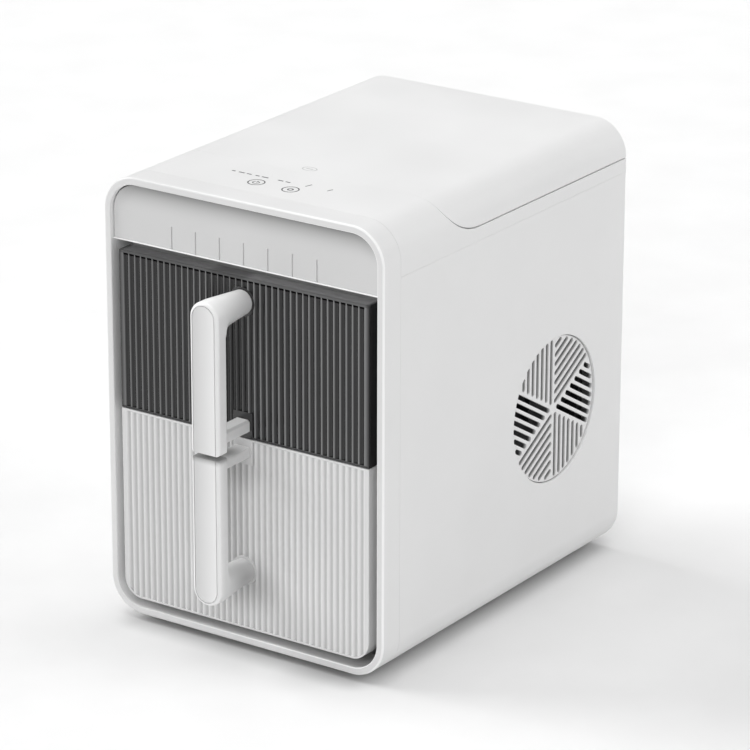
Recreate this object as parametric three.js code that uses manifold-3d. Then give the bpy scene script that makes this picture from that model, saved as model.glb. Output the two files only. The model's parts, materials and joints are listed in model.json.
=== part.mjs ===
// Countertop ice maker with two pull-out drawers: an ice bin above a water tank, both behind fluted
// fronts with upright bar handles, in a rounded white case with a hinged rear lid and a side fan vent.
// Millimetres. X runs to the right, Y from the front face to the back, Z up from the countertop.
// The origin is under the middle of the overall footprint, handles and hinges included.
import * as THREE from "three";
import { mergeVertices } from "three/addons/utils/BufferGeometryUtils.js";
import Module from "manifold-3d";

const wasm = await Module();
wasm.setup();

// ---- Driving dimensions -------------------------------------------------------------------------
const BODY_W = 240; // case width
const BODY_D = 315; // case depth, front face to rear edge of the panels
const BODY_H = 333; // case height without the feet
const EDGE_R = 27; // radius of the four long edges
const FOOT_H = 5; // gap between case and countertop
const WALL = 2.5; // moulded panel thickness
const SEAM = 0.5; // visible joint between two panels
const FIT = 0.3; // clearance of pieces that seat in or against each other
const ARC_STEPS = 4; // half the facets of a quarter round
const ROUND_STEPS = 20; // facets of a full round

const FRAME_WALL = 5.7; // face width of the front frame
const FRAME_D = 20; // depth of the front frame
const SPIGOT_D = 8; // depth of the ring behind it that slips into the panels
const FASCIA_H = 43.1; // height of the fascia above the drawers
const FASCIA_SET = 3; // its setback behind the front face
const FASCIA_LIP_D = 17; // depth of the fascia's lower return
const TICK_COUNT = 7; // engraved marks on the fascia
const TICK_PITCH = 20.8;
const TICK_W = 0.9;
const TICK_H = 17.5;
const TICK_DEEP = 0.5;

const SIDE_TOP_DROP = 38; // from the case top to the top edge of the side panels
const LID_SEAM_DROP = 27.2; // from the case top to the lid's side seam
const LID_FRONT = 79; // from the front face to the lid's front edge
const LID_CORNER_R = 25.5; // lower front corner of the lid, seen from the side
const LID_LAND = 10; // width of the lip that the lid closes on
const LIP_T = 2.4; // thickness of that lip

const DRAWER_GAP = 6.6; // reveal between the drawer fronts and the frame
const DRAWER_SPLIT = 0.5; // gap between the two drawer fronts
const ICE_FRONT_H = 119; // height of the upper drawer front
const FRONT_T = 13; // thickness of a drawer front
const FRONT_SKIN = 3; // its wall behind the flutes
const FRONT_RIM = 11; // width of its rear rim, which carries the box
const TANK_CORNER_R = 15; // lower corners of the tank front
const FLUTE_PITCH = 5.21; // upright hollow flutes of a drawer front
const FLUTE_MARGIN = 3; // least flat margin beside the flutes
const FLUTE_LAND = 0.9; // width of the flat crest between two flutes
const FLUTE_DEEP = 1.2;
const FLUTE_STEPS = 4; // facets of one flute
const PAD_PROUD = 0.1; // handle pads in front of the crests

const GRIP_W = 24.3; // width of the upright grip
const GRIP_L = 111.6; // its height
const GRIP_T = 11; // its thickness
const GRIP_REACH = 45; // from the drawer front to the grip's outer face
const GRIP_SPLIT = 1.7; // from the drawer split to the grip's square end
const GRIP_CORNER_R = 2; // corners of the square end
const CAP_INSET = 3; // border of the grip around its cap
const CAP_T = 2.5; // thickness of the cap
const ARM_R = 9; // round arm at the drawer front
const ARM_FILLET = 9; // sweep under the arm where it meets the grip
const STUB_W = 12.4; // small square arm next to the split
const STUB_H = 8.6;
const STUB_OFFSET = 5.9; // from the split to the stub
const STUB_CHAMFER = 1.6;
const PAD_W = 16.6; // flat pads in the flutes that the arms stand on
const PAD_H = 19.4;
const PAD_R = 11;

const MACHINE_GAP = 14; // between the wall of the machine bay and the fan shroud
const BULKHEAD_T = 3;
const BOX_GAP = 4; // running gap between a drawer box and that wall
const BOX_SIDE = 17.2; // room for rail and runner beside a drawer box
const BOX_WALL = 2.5;
const BOX_RISE = 5; // from the bottom of a drawer front to its box
const ICE_BOX_DROP = 14; // rim of the ice bin under the top of its front
const TANK_HEAD = 8.05; // rim of the water tank under the shelf
const RAIL_T = 3; // side rail of a drawer box
const RAIL_REACH = 12; // how far it stands out
const RAIL_UP = 54; // from the bottom of the box to the rail
const RUNNER_T = 2; // web and flanges of the fixed runner
const RUNNER_LAP = 8; // cover of a runner flange over the rail
const RUNNER_FRONT = 29; // start of the runners behind the front face
const SHELF_T = 3; // shelf between the two bays
const SHELF_DROP = 5; // from the drawer split to the top of the shelf

const TUB_SIDE = 9.2; // room beside the ice-making tub, which holds the tray motor
const TUB_WALL = 2.5;
const TUB_BACK = 17; // room behind the tub for the copper lines
const TUB_LAP = 2.5; // overhang of the tub floor in front of the bulkhead
const BIN_BACK_DROP = 2; // clearance of the bin's low rear wall under the tub floor
const DECK_T = 2.5; // flange that hangs the tub between the panels

const EVAP_HALF = 58; // half width of the evaporator plate
const EVAP_BACK = 78.5; // from the tub's rear face to the middle of the evaporator
const EVAP_D = 40;
const EVAP_DROP = 14.2; // from the deck down to the underside of the evaporator plate
const EVAP_T = 6;
const FINGER_R = 5;
const FINGER_L = 30;
const FINGER_PITCH = 24;
const FINGER_ROW = 20; // distance between the two rows of fingers

const TILT_ROOM = 41.5; // height under the tray that its tilt needs
const TRAY_CLEAR = 6; // tray walls outside the evaporator plate, and floor under the fingers
const TRAY_WALL = 2;
const TRAY_H = 20;
const TRAY_PIVOT_BACK = 6; // from the tray's rear wall to its pivot
const TRAY_PIVOT_DOWN = 6; // from its rim down to the pivot
const TRAY_PIN_R = 3;
const PIVOT_FIT = 0.4; // radial clearance of a pin in its hole
const MOTOR_R = 16; // flat gear motor that tips the tray
const MOTOR_T = 8.3;

const FLAP_SET = 8; // hanging flap in the ice chute, behind the bulkhead's front
const FLAP_SIDE = 11.5; // gap at each side of the flap
const FLAP_T = 2;
const FLAP_CLEAR = 3.5; // flap edge above the tub floor

const VENT_BACK = 93; // from the rear edge to the centre of the side vent
const VENT_DROP = 11; // top of the fan shroud under the tub
const VENT_R = 54.5;
const VENT_SET = 1.7; // setback of the grille face
const VENT_T = 3; // thickness of the slotted plate
const VENT_FLANGE = 3.5; // flange behind the panel
const SLOT_W = 3.7;
const SLOT_PITCH = 6.2;
const SLOTS_PER_SECTOR = 7;
const SECTORS = 6;
const SLOT_RIM = 1.6; // rim outside the slots
const SLOT_ENDS = 2; // facets of a slot's round end

const FAN_R = 46; // tip of the blades
const FAN_HUB_R = 18;
const FAN_MOTOR_R = 14;
const FAN_MOTOR_T = 12;
const SHROUD_HALF = 53;
const SHROUD_T = 23;
const STRUT_T = 2.7;
const DUCT_GAP = 2; // blade tip to duct
const BLADES = 7;
const BLADE_CHORD = 17;
const BLADE_T = 1.6;
const BLADE_PITCH_DEG = 32;
const SHROUD_GAP = 4.4; // between the shroud and the grille flange

const COIL_T = 26; // condenser block
const COIL_HALF = 51;
const COIL_GROOVES = 9;
const GROOVE_W = 3;
const GROOVE_DEEP = 9;
const STAND_T = 2;

const COMP_SIDE = 72; // compressor's axis from the left side
const COMP_BACK = 59.5; // compressor's axis from the rear cover
const COMP_R = 45;
const COMP_H = 106;
const MOUNT_R = 8; // rubber mounts under it
const MOUNT_H = 10;
const MOUNT_RING = 36;
const COMP_FOOT_T = 2.5;
const STUB_TUBE_R = 4; // stubs on its dome
const STUB_TUBE_H = 8;

const TUBE_R = 2.5; // copper lines
const CAPILLARY_R = 1.2;
const TUBE_SIDES = 8;
const BEND = 14; // length of a bend on each side of its corner
const HOSE_R = 4;
const HOSE_RISE = 30; // straight up out of the pump
const HOSE_DROP = 40; // straight down from the tub
const DRIER_R = 8;
const DRIER_L = 70;
const DRIER_X = 30;
const DRIER_Z = 70;
const DISCHARGE_RUN = 36; // from the compressor across to the coil's side
const SUCTION_X = -30;
const SUCTION_DROP = 9.7; // where the suction line turns forward, under the tub
const LINE_BACK = 8.5; // copper lines that run down in front of the rear cover

const SPOUT_RISE = 10; // tank outlet above the tank floor
const SPOUT_R = 7;
const SPOUT_BORE = 4;
const SPOUT_L = 10;
const DOCK_WALL = 2.4;
const DOCK_L = 11;
const NOZZLE_R = 4;
const NOZZLE_L = 6;
const PUMP_R = 17;
const PUMP_H = 37;
const FEED_BACK = 32.5; // riser that fills the tray from behind, from the tub's rear face

const BOARD_T = 1.6;
const CONTROL_X = 52; // half width of the touch board
const CONTROL_SET = 29.5; // middle of the touch board behind the front frame
const CONTROL_D = 40;
const CONTROL_DROP = 8; // under the case top
const POWER_SIDE = 55; // middle of the power board from the left side
const POWER_HALF = 40;
const POWER_DROP = 26; // top of the power board under the tub
const POWER_H = 90;
const TRANSFORMER = [30, 22, 26]; // across, out from the board, and up
const TRANSFORMER_AT = [27, 25]; // its middle from the board's left and upper edges
const RELAY = [16, 15, 20];
const RELAY_AT = [60, 24];
const TERMINALS = [36, 10, 10];
const TERMINALS_AT = [28, 75];
const CAPACITOR_R = 8;
const CAPACITOR_L = 20;
const CAPACITOR_AT = [60, 68];
const STANDOFF_R = 3;

const INLET_SIDE = 45; // mains inlet on the rear cover, from the right side
const INLET_Z = 45;
const INLET_HALF_W = 15;
const INLET_HALF_H = 11.5;
const INLET_D = 20;
const SOCKET_D = 14;
const FLANGE_T = 1.2;
const FLANGE_LAP = 3;

const REAR_SET = 1; // setback of the rear cover
const LOUVRE_ROWS = 9;
const LOUVRE_PITCH = 9;
const LOUVRE_W = 56;
const LOUVRE_H = 3.5;
const LOUVRE_X = 45;
const LOUVRE_Z = 118;
const SCREW_R = 4;
const SCREW_HEAD = 2.2;
const SCREW_PILOT = 1.6;
const SCREW_L = 8;
const BOSS_L = 10; // boss on a side panel for a screw of the rear cover
const SCREW_SIDE = 20; // screws of the rear cover from the sides

const HINGE_SIDE = 45; // hinges of the lid from the sides
const HINGE_R = 4; // barrel
const HINGE_PIN_R = 1.8;
const HINGE_PROUD = 0.5; // hinge axis behind the panels' rear edge
const HINGE_DROP = 2; // hinge axis under the lid's lower edge
const KNUCKLE = 10; // width of the lid's knuckle
const LEAF_T = 2; // fixed leaf on the rear cover
const LEAF_H = 18;

const BASE_LIP = 12; // upturned edges of the base plate
const FOOT_R = 10;
const FOOT_SIDE = 42; // feet from the sides
const FOOT_FRONT = 38;
const FOOT_BACK = 22;
const FOOT_PLUG_R = 4;

// ---- Derived places -----------------------------------------------------------------------------
const HALF_W = BODY_W / 2;
const BOTTOM = FOOT_H;
const TOP = FOOT_H + BODY_H;
const SHELL_FRONT = FRAME_D + SEAM;
const INNER_HALF = HALF_W - WALL - FIT; // pieces that sit between the side panels
const FLOOR_Z = BOTTOM + WALL; // upper face of the base plate
const BASE_HALF = HALF_W - EDGE_R - SEAM;
const SIDE_TOP = TOP - SIDE_TOP_DROP;
const LID_SEAM = TOP - LID_SEAM_DROP;
const REAR_OUT = BODY_D - REAR_SET; // outer face of the rear cover
const REAR_IN = REAR_OUT - WALL;
const OPEN_HALF = HALF_W - FRAME_WALL; // inside the front frame
const OPEN_TOP = TOP - FRAME_WALL;
const OPEN_BOTTOM = BOTTOM + FRAME_WALL;
const FASCIA_Z = OPEN_TOP - FASCIA_H;
const FRONT_HALF = OPEN_HALF - DRAWER_GAP;
const FLUTES = Math.floor((2 * (FRONT_HALF - FLUTE_MARGIN)) / FLUTE_PITCH);
const ICE_TOP = FASCIA_Z - DRAWER_GAP;
const ICE_BOTTOM = ICE_TOP - ICE_FRONT_H;
const SPLIT_Z = ICE_BOTTOM - DRAWER_SPLIT / 2;
const TANK_TOP = ICE_BOTTOM - DRAWER_SPLIT;
const TANK_BOTTOM = OPEN_BOTTOM + DRAWER_GAP;
const VENT_Y = BODY_D - VENT_BACK;
const BULKHEAD_BACK = VENT_Y - SHROUD_HALF - MACHINE_GAP;
const BULKHEAD_Y = BULKHEAD_BACK - BULKHEAD_T;
const BOX_HALF = INNER_HALF - BOX_SIDE;
const BOX_BACK = BULKHEAD_Y - BOX_GAP;
const SHELF_TOP = SPLIT_Z - SHELF_DROP + SHELF_T;
const DECK_TOP = SIDE_TOP + SEAM - FIT;
const EVAP_Z = DECK_TOP - EVAP_DROP;
const TRAY_BOTTOM = EVAP_Z - FINGER_L - TRAY_CLEAR;
const TUB_FRONT = BULKHEAD_Y - TUB_LAP;
const TUB_REAR = REAR_IN - TUB_BACK;
const TUB_HALF = INNER_HALF - TUB_SIDE;
const TUB_FLOOR = TRAY_BOTTOM - TILT_ROOM;
const TUB_UNDER = TUB_FLOOR - TUB_WALL;
const EVAP_Y = TUB_REAR - EVAP_BACK;
const FEED_Y = TUB_REAR - FEED_BACK;
const FLAP_Y = BULKHEAD_Y + FLAP_SET;
const FLAP_Z = EVAP_Z;
const FLAP_HALF = TUB_HALF - TUB_WALL - FLAP_SIDE;
const HINGE_Y = BODY_D + HINGE_PROUD;
const HINGE_Z = LID_SEAM + SEAM / 2 - HINGE_DROP;
const COVER_TOP = LID_SEAM - SEAM / 2;
const SCREW_HIGH = SIDE_TOP - 4 * SCREW_R;
const SCREW_LOW = BOTTOM + EDGE_R;
const VENT_RISE = TUB_UNDER - VENT_DROP - SHROUD_HALF;
const GRILLE_BACK = HALF_W - WALL - FIT - (VENT_FLANGE - 1);
const SHROUD_OUT = GRILLE_BACK - SHROUD_GAP;
const SHROUD_IN = SHROUD_OUT - SHROUD_T;
const COIL_OUT = SHROUD_IN - FIT;
const COIL_IN = COIL_OUT - COIL_T;
const TRAY_PIVOT_Z = TRAY_BOTTOM + TRAY_H - TRAY_PIVOT_DOWN;
const TRAY_REAR = EVAP_Y + EVAP_D / 2 + TRAY_WALL + FIT * 6;
const TRAY_PIVOT_Y = TRAY_REAR + TRAY_PIVOT_BACK;
const COMP_X = -(HALF_W - COMP_SIDE);
const COMP_Y = REAR_IN - COMP_BACK;
const LINE_REAR = REAR_IN - LINE_BACK;
const CONTROL_Y = SHELL_FRONT + CONTROL_SET;
const POWER_X = -(HALF_W - POWER_SIDE);
const POWER_Z = TUB_UNDER - POWER_DROP - POWER_H;
const INLET_X = HALF_W - INLET_SIDE;
const SCREW_X = HALF_W - SCREW_SIDE;
const HINGE_X = HALF_W - HINGE_SIDE;
const FOOT_X = HALF_W - FOOT_SIDE;
const OVERALL_FRONT = -GRIP_REACH;
const OVERALL_BACK = HINGE_Y + HINGE_R;
const CUT = 1; // how far a cutter runs past the face that it cuts

// ---- Materials ----------------------------------------------------------------------------------
const plastic = (color, roughness) => new THREE.MeshStandardMaterial({ color, roughness, metalness: 0 });
const metal = (color, roughness) => new THREE.MeshStandardMaterial({ color, roughness, metalness: 1 });
const WHITE = plastic(0xe9e9e9, 0.45);
const PANEL = plastic(0xdedede, 0.5);
const FASCIA = plastic(0xc4c4c4, 0.5);
const SMOKE = plastic(0x38383a, 0.18);
const LINER = plastic(0xf1f1f1, 0.4);
const CLEAR = plastic(0xd4dcdf, 0.2);
const BLACK = plastic(0x202020, 0.5);
const RUBBER = plastic(0x1a1a1a, 0.9);
const BOARD = plastic(0x1f5a38, 0.6);
const STEEL = metal(0xb8bcc0, 0.35);
const ALUMINIUM = metal(0xc9ccd0, 0.4);
const COPPER = metal(0xb46a3c, 0.35);

// ---- Solids -------------------------------------------------------------------------------------
function solidOf(geometry) {
  const bare = geometry.index ? geometry.toNonIndexed() : geometry.clone();
  bare.deleteAttribute("normal");
  bare.deleteAttribute("uv");
  const merged = mergeVertices(bare, 1e-4);
  const mesh = new wasm.Mesh({
    numProp: 3,
    vertProperties: merged.attributes.position.array,
    triVerts: new Uint32Array(merged.index.array),
  });
  return new wasm.Manifold(mesh);
}

function geometryOf(solid) {
  const mesh = solid.getMesh();
  const geometry = new THREE.BufferGeometry();
  geometry.setAttribute("position", new THREE.BufferAttribute(mesh.vertProperties, 3));
  geometry.setIndex(new THREE.BufferAttribute(mesh.triVerts, 1));
  const flat = geometry.toNonIndexed();
  flat.computeVertexNormals();
  return flat;
}

const join = (first, ...others) => others.reduce((sum, other) => sum.add(other), first);
const cut = (first, ...others) => others.reduce((rest, other) => rest.subtract(other), first);

function box(x, y, z) {
  const geometry = new THREE.BoxGeometry(x[1] - x[0], y[1] - y[0], z[1] - z[0]);
  geometry.translate((x[0] + x[1]) / 2, (y[0] + y[1]) / 2, (z[0] + z[1]) / 2);
  return solidOf(geometry);
}

function extrude(shape, depth, basis, start) {
  const geometry = new THREE.ExtrudeGeometry(shape, { depth, bevelEnabled: false, curveSegments: ARC_STEPS });
  geometry.translate(0, 0, start);
  geometry.applyMatrix4(basis);
  return solidOf(geometry);
}

const AXIS_X = new THREE.Vector3(1, 0, 0);
const AXIS_Y = new THREE.Vector3(0, 1, 0);
const AXIS_Z = new THREE.Vector3(0, 0, 1);
const ALONG_X = new THREE.Matrix4().makeBasis(AXIS_Y, AXIS_Z, AXIS_X);
const BACK_Y = new THREE.Matrix4().makeBasis(AXIS_X, AXIS_Z, AXIS_Y.clone().negate());
const ALONG_Z = new THREE.Matrix4();

// A shape drawn in (y, z), carried along X.
const prismX = (shape, x) => extrude(shape, x[1] - x[0], ALONG_X, x[0]);
// A shape drawn in (x, z), carried along Y.
const prismY = (shape, y) => extrude(shape, y[1] - y[0], BACK_Y, -y[1]);
// A shape drawn in (x, y), carried along Z.
const prismZ = (shape, z) => extrude(shape, z[1] - z[0], ALONG_Z, z[0]);

// A solid of revolution about Z, from its (radius, height) outline.
function turned(outline, steps = ROUND_STEPS) {
  const points = outline.map(([radius, height]) => new THREE.Vector2(radius, height));
  const geometry = new THREE.LatheGeometry(points, steps);
  geometry.rotateX(Math.PI / 2);
  return solidOf(geometry);
}

// A rod or a tapered rod along Z.
function rodZ(radius, z, steps = ROUND_STEPS, endRadius = radius) {
  return turned([[0, z[0]], [radius, z[0]], [endRadius, z[1]], [0, z[1]]], steps);
}
const rodY = (radius, y, steps, endRadius) => rodZ(radius, y, steps, endRadius).rotate([-90, 0, 0]);
const rodX = (radius, x, steps, endRadius) => rodZ(radius, x, steps, endRadius).rotate([0, 90, 0]);

// A line of round section along straight runs with a bend at every point between its ends.
function line(points, radius, steps, bend = BEND) {
  const section = new THREE.Shape();
  for (let i = 0; i < TUBE_SIDES; i += 1) {
    const angle = (2 * Math.PI * i) / TUBE_SIDES;
    const at = [radius * Math.cos(angle), radius * Math.sin(angle)];
    if (i === 0) section.moveTo(...at);
    else section.lineTo(...at);
  }
  section.closePath();
  const corners = points.map((point) => new THREE.Vector3(...point));
  const path = new THREE.CurvePath();
  let from = corners[0];
  for (let i = 1; i < corners.length - 1; i += 1) {
    const back = corners[i - 1].clone().sub(corners[i]);
    const ahead = corners[i + 1].clone().sub(corners[i]);
    const reach = Math.min(bend, back.length() / 2.1, ahead.length() / 2.1);
    const entry = corners[i].clone().add(back.setLength(reach));
    const exit = corners[i].clone().add(ahead.setLength(reach));
    path.add(new THREE.LineCurve3(from, entry));
    path.add(new THREE.QuadraticBezierCurve3(entry, corners[i], exit));
    from = exit;
  }
  path.add(new THREE.LineCurve3(from, corners[corners.length - 1]));
  return solidOf(new THREE.ExtrudeGeometry(section, { steps, extrudePath: path, bevelEnabled: false }));
}

// Upright outline in (x, z) with its own corner radius below and above.
function upright(half, z, below, above = below, target = new THREE.Shape()) {
  const [low, high] = z;
  target.moveTo(-half + below, low);
  target.lineTo(half - below, low);
  if (below > 0) target.absarc(half - below, low + below, below, -Math.PI / 2, 0, false);
  target.lineTo(half, high - above);
  if (above > 0) target.absarc(half - above, high - above, above, 0, Math.PI / 2, false);
  target.lineTo(-half + above, high);
  if (above > 0) target.absarc(-half + above, high - above, above, Math.PI / 2, Math.PI, false);
  target.lineTo(-half, low + below);
  if (below > 0) target.absarc(-half + below, low + below, below, Math.PI, 1.5 * Math.PI, false);
  return target;
}

// The case's cross-section, moved inwards by an inset.
function caseOutline(inset, target) {
  const radius = EDGE_R - inset;
  return upright(HALF_W - inset, [BOTTOM + inset, TOP - inset], radius, radius, target);
}

// A ring of the case's cross-section between two insets, carried along Y.
function caseRing(outer, inner, y) {
  const ring = caseOutline(outer);
  ring.holes.push(caseOutline(inner, new THREE.Path()));
  return prismY(ring, y);
}

const SPACE = 1000; // larger than the whole part
const slab = { x: [-SPACE, SPACE], y: [-SPACE, SPACE], z: [-SPACE, SPACE] };
const halfSpace = (limits) => box(limits.x || slab.x, limits.y || slab.y, limits.z || slab.z);

const model = new THREE.Group();
const machine = new THREE.Group(); // everything, measured from the front face
machine.position.y = -(OVERALL_FRONT + OVERALL_BACK) / 2;
model.add(machine);

function addPart(name, solid, material, parent = machine) {
  const mesh = new THREE.Mesh(geometryOf(solid), material);
  mesh.name = name;
  parent.add(mesh);
  return mesh;
}

function addGroup(position, parent = machine) {
  const group = new THREE.Group();
  group.position.set(...position);
  parent.add(group);
  return group;
}

// ---- Case ---------------------------------------------------------------------------------------
// Side view of everything that belongs to the lid, grown outwards by a clearance.
function lidRegion(grow, half = HALF_W + CUT) {
  const shape = new THREE.Shape();
  const front = LID_FRONT;
  shape.moveTo(front - grow, TOP + CUT);
  shape.lineTo(front - grow, LID_SEAM + LID_CORNER_R);
  const bend = [front + LID_CORNER_R, LID_SEAM + LID_CORNER_R];
  shape.absarc(...bend, LID_CORNER_R + grow, Math.PI, 1.5 * Math.PI, false);
  shape.lineTo(BODY_D + CUT, LID_SEAM - grow);
  shape.lineTo(BODY_D + CUT, TOP + CUT);
  shape.closePath();
  return prismX(shape, [-half, half]);
}

function addFrame() {
  const ring = caseRing(0, FRAME_WALL, [0, FRAME_D]);
  const spigot = caseRing(WALL + FIT, FRAME_WALL, [FRAME_D - CUT, FRAME_D + SPIGOT_D]);
  addPart("front_frame", join(ring, spigot), WHITE);
}

function addFascia() {
  const inner = EDGE_R - FRAME_WALL - FIT;
  const half = OPEN_HALF - FIT;
  const plate = prismY(upright(half, [FASCIA_Z, OPEN_TOP - FIT], 0, inner), [FASCIA_SET, FASCIA_SET + WALL]);
  const lip = box([-half, half], [FASCIA_SET, FASCIA_SET + FASCIA_LIP_D], [FASCIA_Z, FASCIA_Z + WALL]);
  const ticks = [];
  for (let i = 0; i < TICK_COUNT; i += 1) {
    const x = (i - (TICK_COUNT - 1) / 2) * TICK_PITCH;
    const across = [x - TICK_W / 2, x + TICK_W / 2];
    const deep = [FASCIA_SET - CUT, FASCIA_SET + TICK_DEEP];
    ticks.push(box(across, deep, [FASCIA_Z - CUT, FASCIA_Z + TICK_H]));
  }
  addPart("front_fascia", cut(join(plate, lip), ...ticks), FASCIA);
}

function addShell() {
  const shell = caseRing(0, WALL, [SHELL_FRONT, BODY_D]);
  const corner = HALF_W - EDGE_R;
  const beside = { z: [-SPACE, SIDE_TOP] };
  const vent = rodX(VENT_R, [HALF_W - 2 * WALL, HALF_W + CUT], 2 * ROUND_STEPS)
    .translate([0, VENT_Y, VENT_RISE]);
  let left = shell.intersect(halfSpace({ ...beside, x: [-SPACE, -corner] }));
  for (const z of [SCREW_LOW, SCREW_HIGH]) {
    const bossY = [REAR_IN - FIT - BOSS_L, REAR_IN - FIT];
    const boss = box([-HALF_W + WALL / 2, -SCREW_X + SCREW_R], bossY, [z - SCREW_R, z + SCREW_R]);
    left = join(left, cut(boss, rodY(SCREW_PILOT + FIT, slab.y, 12).translate([-SCREW_X, 0, z])));
  }
  addPart("left_side_panel", left, PANEL);
  addPart("right_side_panel", cut(left.mirror([1, 0, 0]), vent), PANEL);

  const above = halfSpace({ z: [SIDE_TOP + SEAM, SPACE] });
  const arch = shell.intersect(above);
  const lipRing = caseRing(WALL + FIT, WALL + LIP_T, [LID_FRONT - LID_LAND, REAR_IN - FIT]).intersect(above);
  const opening = lidRegion(-LID_LAND);
  const tie = caseRing(WALL - FIT, WALL + 2 * FIT, [LID_FRONT - LID_LAND, REAR_IN - FIT]).intersect(above);
  const deckBosses = [-1, 1].flatMap((side) => [-1, 1].map((end) => {
    const at = [side * (CONTROL_X - STANDOFF_R - 2), CONTROL_Y + end * (CONTROL_D / 2 - STANDOFF_R - 2), 0];
    return rodZ(STANDOFF_R, [TOP - CONTROL_DROP, TOP - WALL / 2], 10).translate(at);
  }));
  const clear = lidRegion(SEAM / 2);
  const cover = join(cut(arch, clear), cut(lipRing, opening), cut(tie, clear), ...deckBosses);
  addPart("upper_cover", cover, WHITE);
  return arch;
}

// Room for one hinge barrel in the lid and in the rear cover.
const hingeRelief = () => rodX(HINGE_R + 2 * FIT, [-1.6 * KNUCKLE, 1.6 * KNUCKLE], 16);

function addLid(arch) {
  const wallY = [REAR_IN, REAR_OUT];
  const overRear = halfSpace({ z: [LID_SEAM + SEAM / 2, SPACE] });
  const rear = prismY(caseOutline(WALL / 2), wallY).intersect(overRear);
  const top = arch.intersect(lidRegion(-SEAM / 2));
  const webZ = [HINGE_Z, HINGE_Z + 2.5 * HINGE_R];
  const web = box([-KNUCKLE / 2, KNUCKLE / 2], [REAR_IN, HINGE_Y + HINGE_R], webZ);
  const knuckle = join(rodX(HINGE_R, [-KNUCKLE / 2, KNUCKLE / 2], 16).translate([0, HINGE_Y, HINGE_Z]), web);
  const hole = rodX(HINGE_PIN_R + PIVOT_FIT, [-KNUCKLE, KNUCKLE], 16).translate([0, HINGE_Y, HINGE_Z]);
  let lid = join(top, rear);
  for (const x of [-HINGE_X, HINGE_X]) {
    lid = cut(lid, hingeRelief().translate([x, HINGE_Y, HINGE_Z]));
    lid = join(lid, knuckle.translate([x, 0, 0]));
    lid = cut(lid, hole.translate([x, 0, 0]));
  }
  addPart("top_lid", lid, WHITE);
}

function addHinges() {
  const half = 1.5 * KNUCKLE;
  const leaf = box([-half, half], [REAR_OUT, REAR_OUT + LEAF_T], [HINGE_Z - LEAF_H, HINGE_Z]);
  const barrel = rodX(HINGE_R, [-half, half], 16).translate([0, HINGE_Y, HINGE_Z]);
  const room = KNUCKLE / 2 + FIT;
  const gap = box([-room, room], [REAR_OUT - CUT, SPACE], [HINGE_Z - 1.5 * HINGE_R, SPACE]);
  const hole = rodX(HINGE_PIN_R + PIVOT_FIT, [-2 * half, 2 * half], 16).translate([0, HINGE_Y, HINGE_Z]);
  const inFront = halfSpace({ y: [-SPACE, REAR_OUT] });
  const bracket = cut(join(leaf, barrel), gap, hole, inFront);
  const pin = rodX(HINGE_PIN_R, [-half, half], 12).translate([0, HINGE_Y, HINGE_Z]);
  for (const [side, x] of [["left", -HINGE_X], ["right", HINGE_X]]) {
    const group = addGroup([x, 0, 0]);
    addPart(`lid_hinge_bracket_${side}`, bracket, WHITE, group);
    addPart(`lid_hinge_pin_${side}`, pin, STEEL, group);
  }
}

function addRearCover() {
  const inset = WALL + FIT;
  let cover = prismY(caseOutline(inset), [REAR_IN, REAR_OUT]);
  cover = cover.intersect(halfSpace({ z: [-SPACE, COVER_TOP] }));
  const through = [REAR_IN - CUT, REAR_OUT + CUT];
  for (const side of [-1, 1]) {
    cover = cut(cover, hingeRelief().translate([side * HINGE_X, HINGE_Y, HINGE_Z]));
    for (let row = 0; row < LOUVRE_ROWS; row += 1) {
      const x = side * LOUVRE_X;
      const z = LOUVRE_Z + row * LOUVRE_PITCH;
      cover = cut(cover, box([x - LOUVRE_W / 2, x + LOUVRE_W / 2], through, [z, z + LOUVRE_H]));
    }
  }
  const inletX = [INLET_X - INLET_HALF_W - FIT, INLET_X + INLET_HALF_W + FIT];
  const inletZ = [INLET_Z - INLET_HALF_H - FIT, INLET_Z + INLET_HALF_H + FIT];
  cover = cut(cover, box(inletX, through, inletZ));
  const screw = turned([[0, -SCREW_L], [SCREW_PILOT, -SCREW_L], [SCREW_PILOT, 0], [SCREW_R, 0],
    [SCREW_R * 0.8, SCREW_HEAD], [0, SCREW_HEAD]], 12).rotate([-90, 0, 0]);
  const corners = {
    upper_left: [-1, SCREW_HIGH],
    upper_right: [1, SCREW_HIGH],
    lower_left: [-1, SCREW_LOW],
    lower_right: [1, SCREW_LOW],
  };
  const pilot = rodY(SCREW_PILOT + FIT, through, 12);
  for (const [name, [side, z]] of Object.entries(corners)) {
    const x = side * SCREW_X;
    cover = cut(cover, pilot.translate([x, 0, z]));
    addPart(`rear_screw_${name}`, screw, STEEL, addGroup([x, REAR_OUT, z]));
  }
  addPart("rear_cover", cover, PANEL);
}

function addBase() {
  const half = BASE_HALF;
  const length = [SHELL_FRONT, REAR_IN - FIT];
  const plug = rodZ(FOOT_PLUG_R + FIT, [BOTTOM - CUT, FLOOR_Z + CUT], 16);
  let base = box([-half, half], length, [BOTTOM, FLOOR_Z]);
  for (const side of [-1, 1]) {
    const edge = [side * half, side * (half - WALL)].sort((a, b) => a - b);
    base = join(base, box(edge, [SHELL_FRONT + SPIGOT_D, length[1]], [BOTTOM, BOTTOM + BASE_LIP]));
  }
  const foot = turned([[0, 0], [FOOT_R - 1, 0], [FOOT_R, 1], [FOOT_R, FOOT_H], [FOOT_PLUG_R, FOOT_H],
    [FOOT_PLUG_R, FOOT_H + WALL + 1], [0, FOOT_H + WALL + 1]]);
  for (const [end, y] of [["front", FOOT_FRONT], ["rear", BODY_D - FOOT_BACK]]) {
    for (const [side, x] of [["left", -FOOT_X], ["right", FOOT_X]]) {
      base = cut(base, plug.translate([x, y, 0]));
      addPart(`foot_${end}_${side}`, foot, RUBBER, addGroup([x, y, 0]));
    }
  }
  addPart("base_plate", base, STEEL);
}

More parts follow.
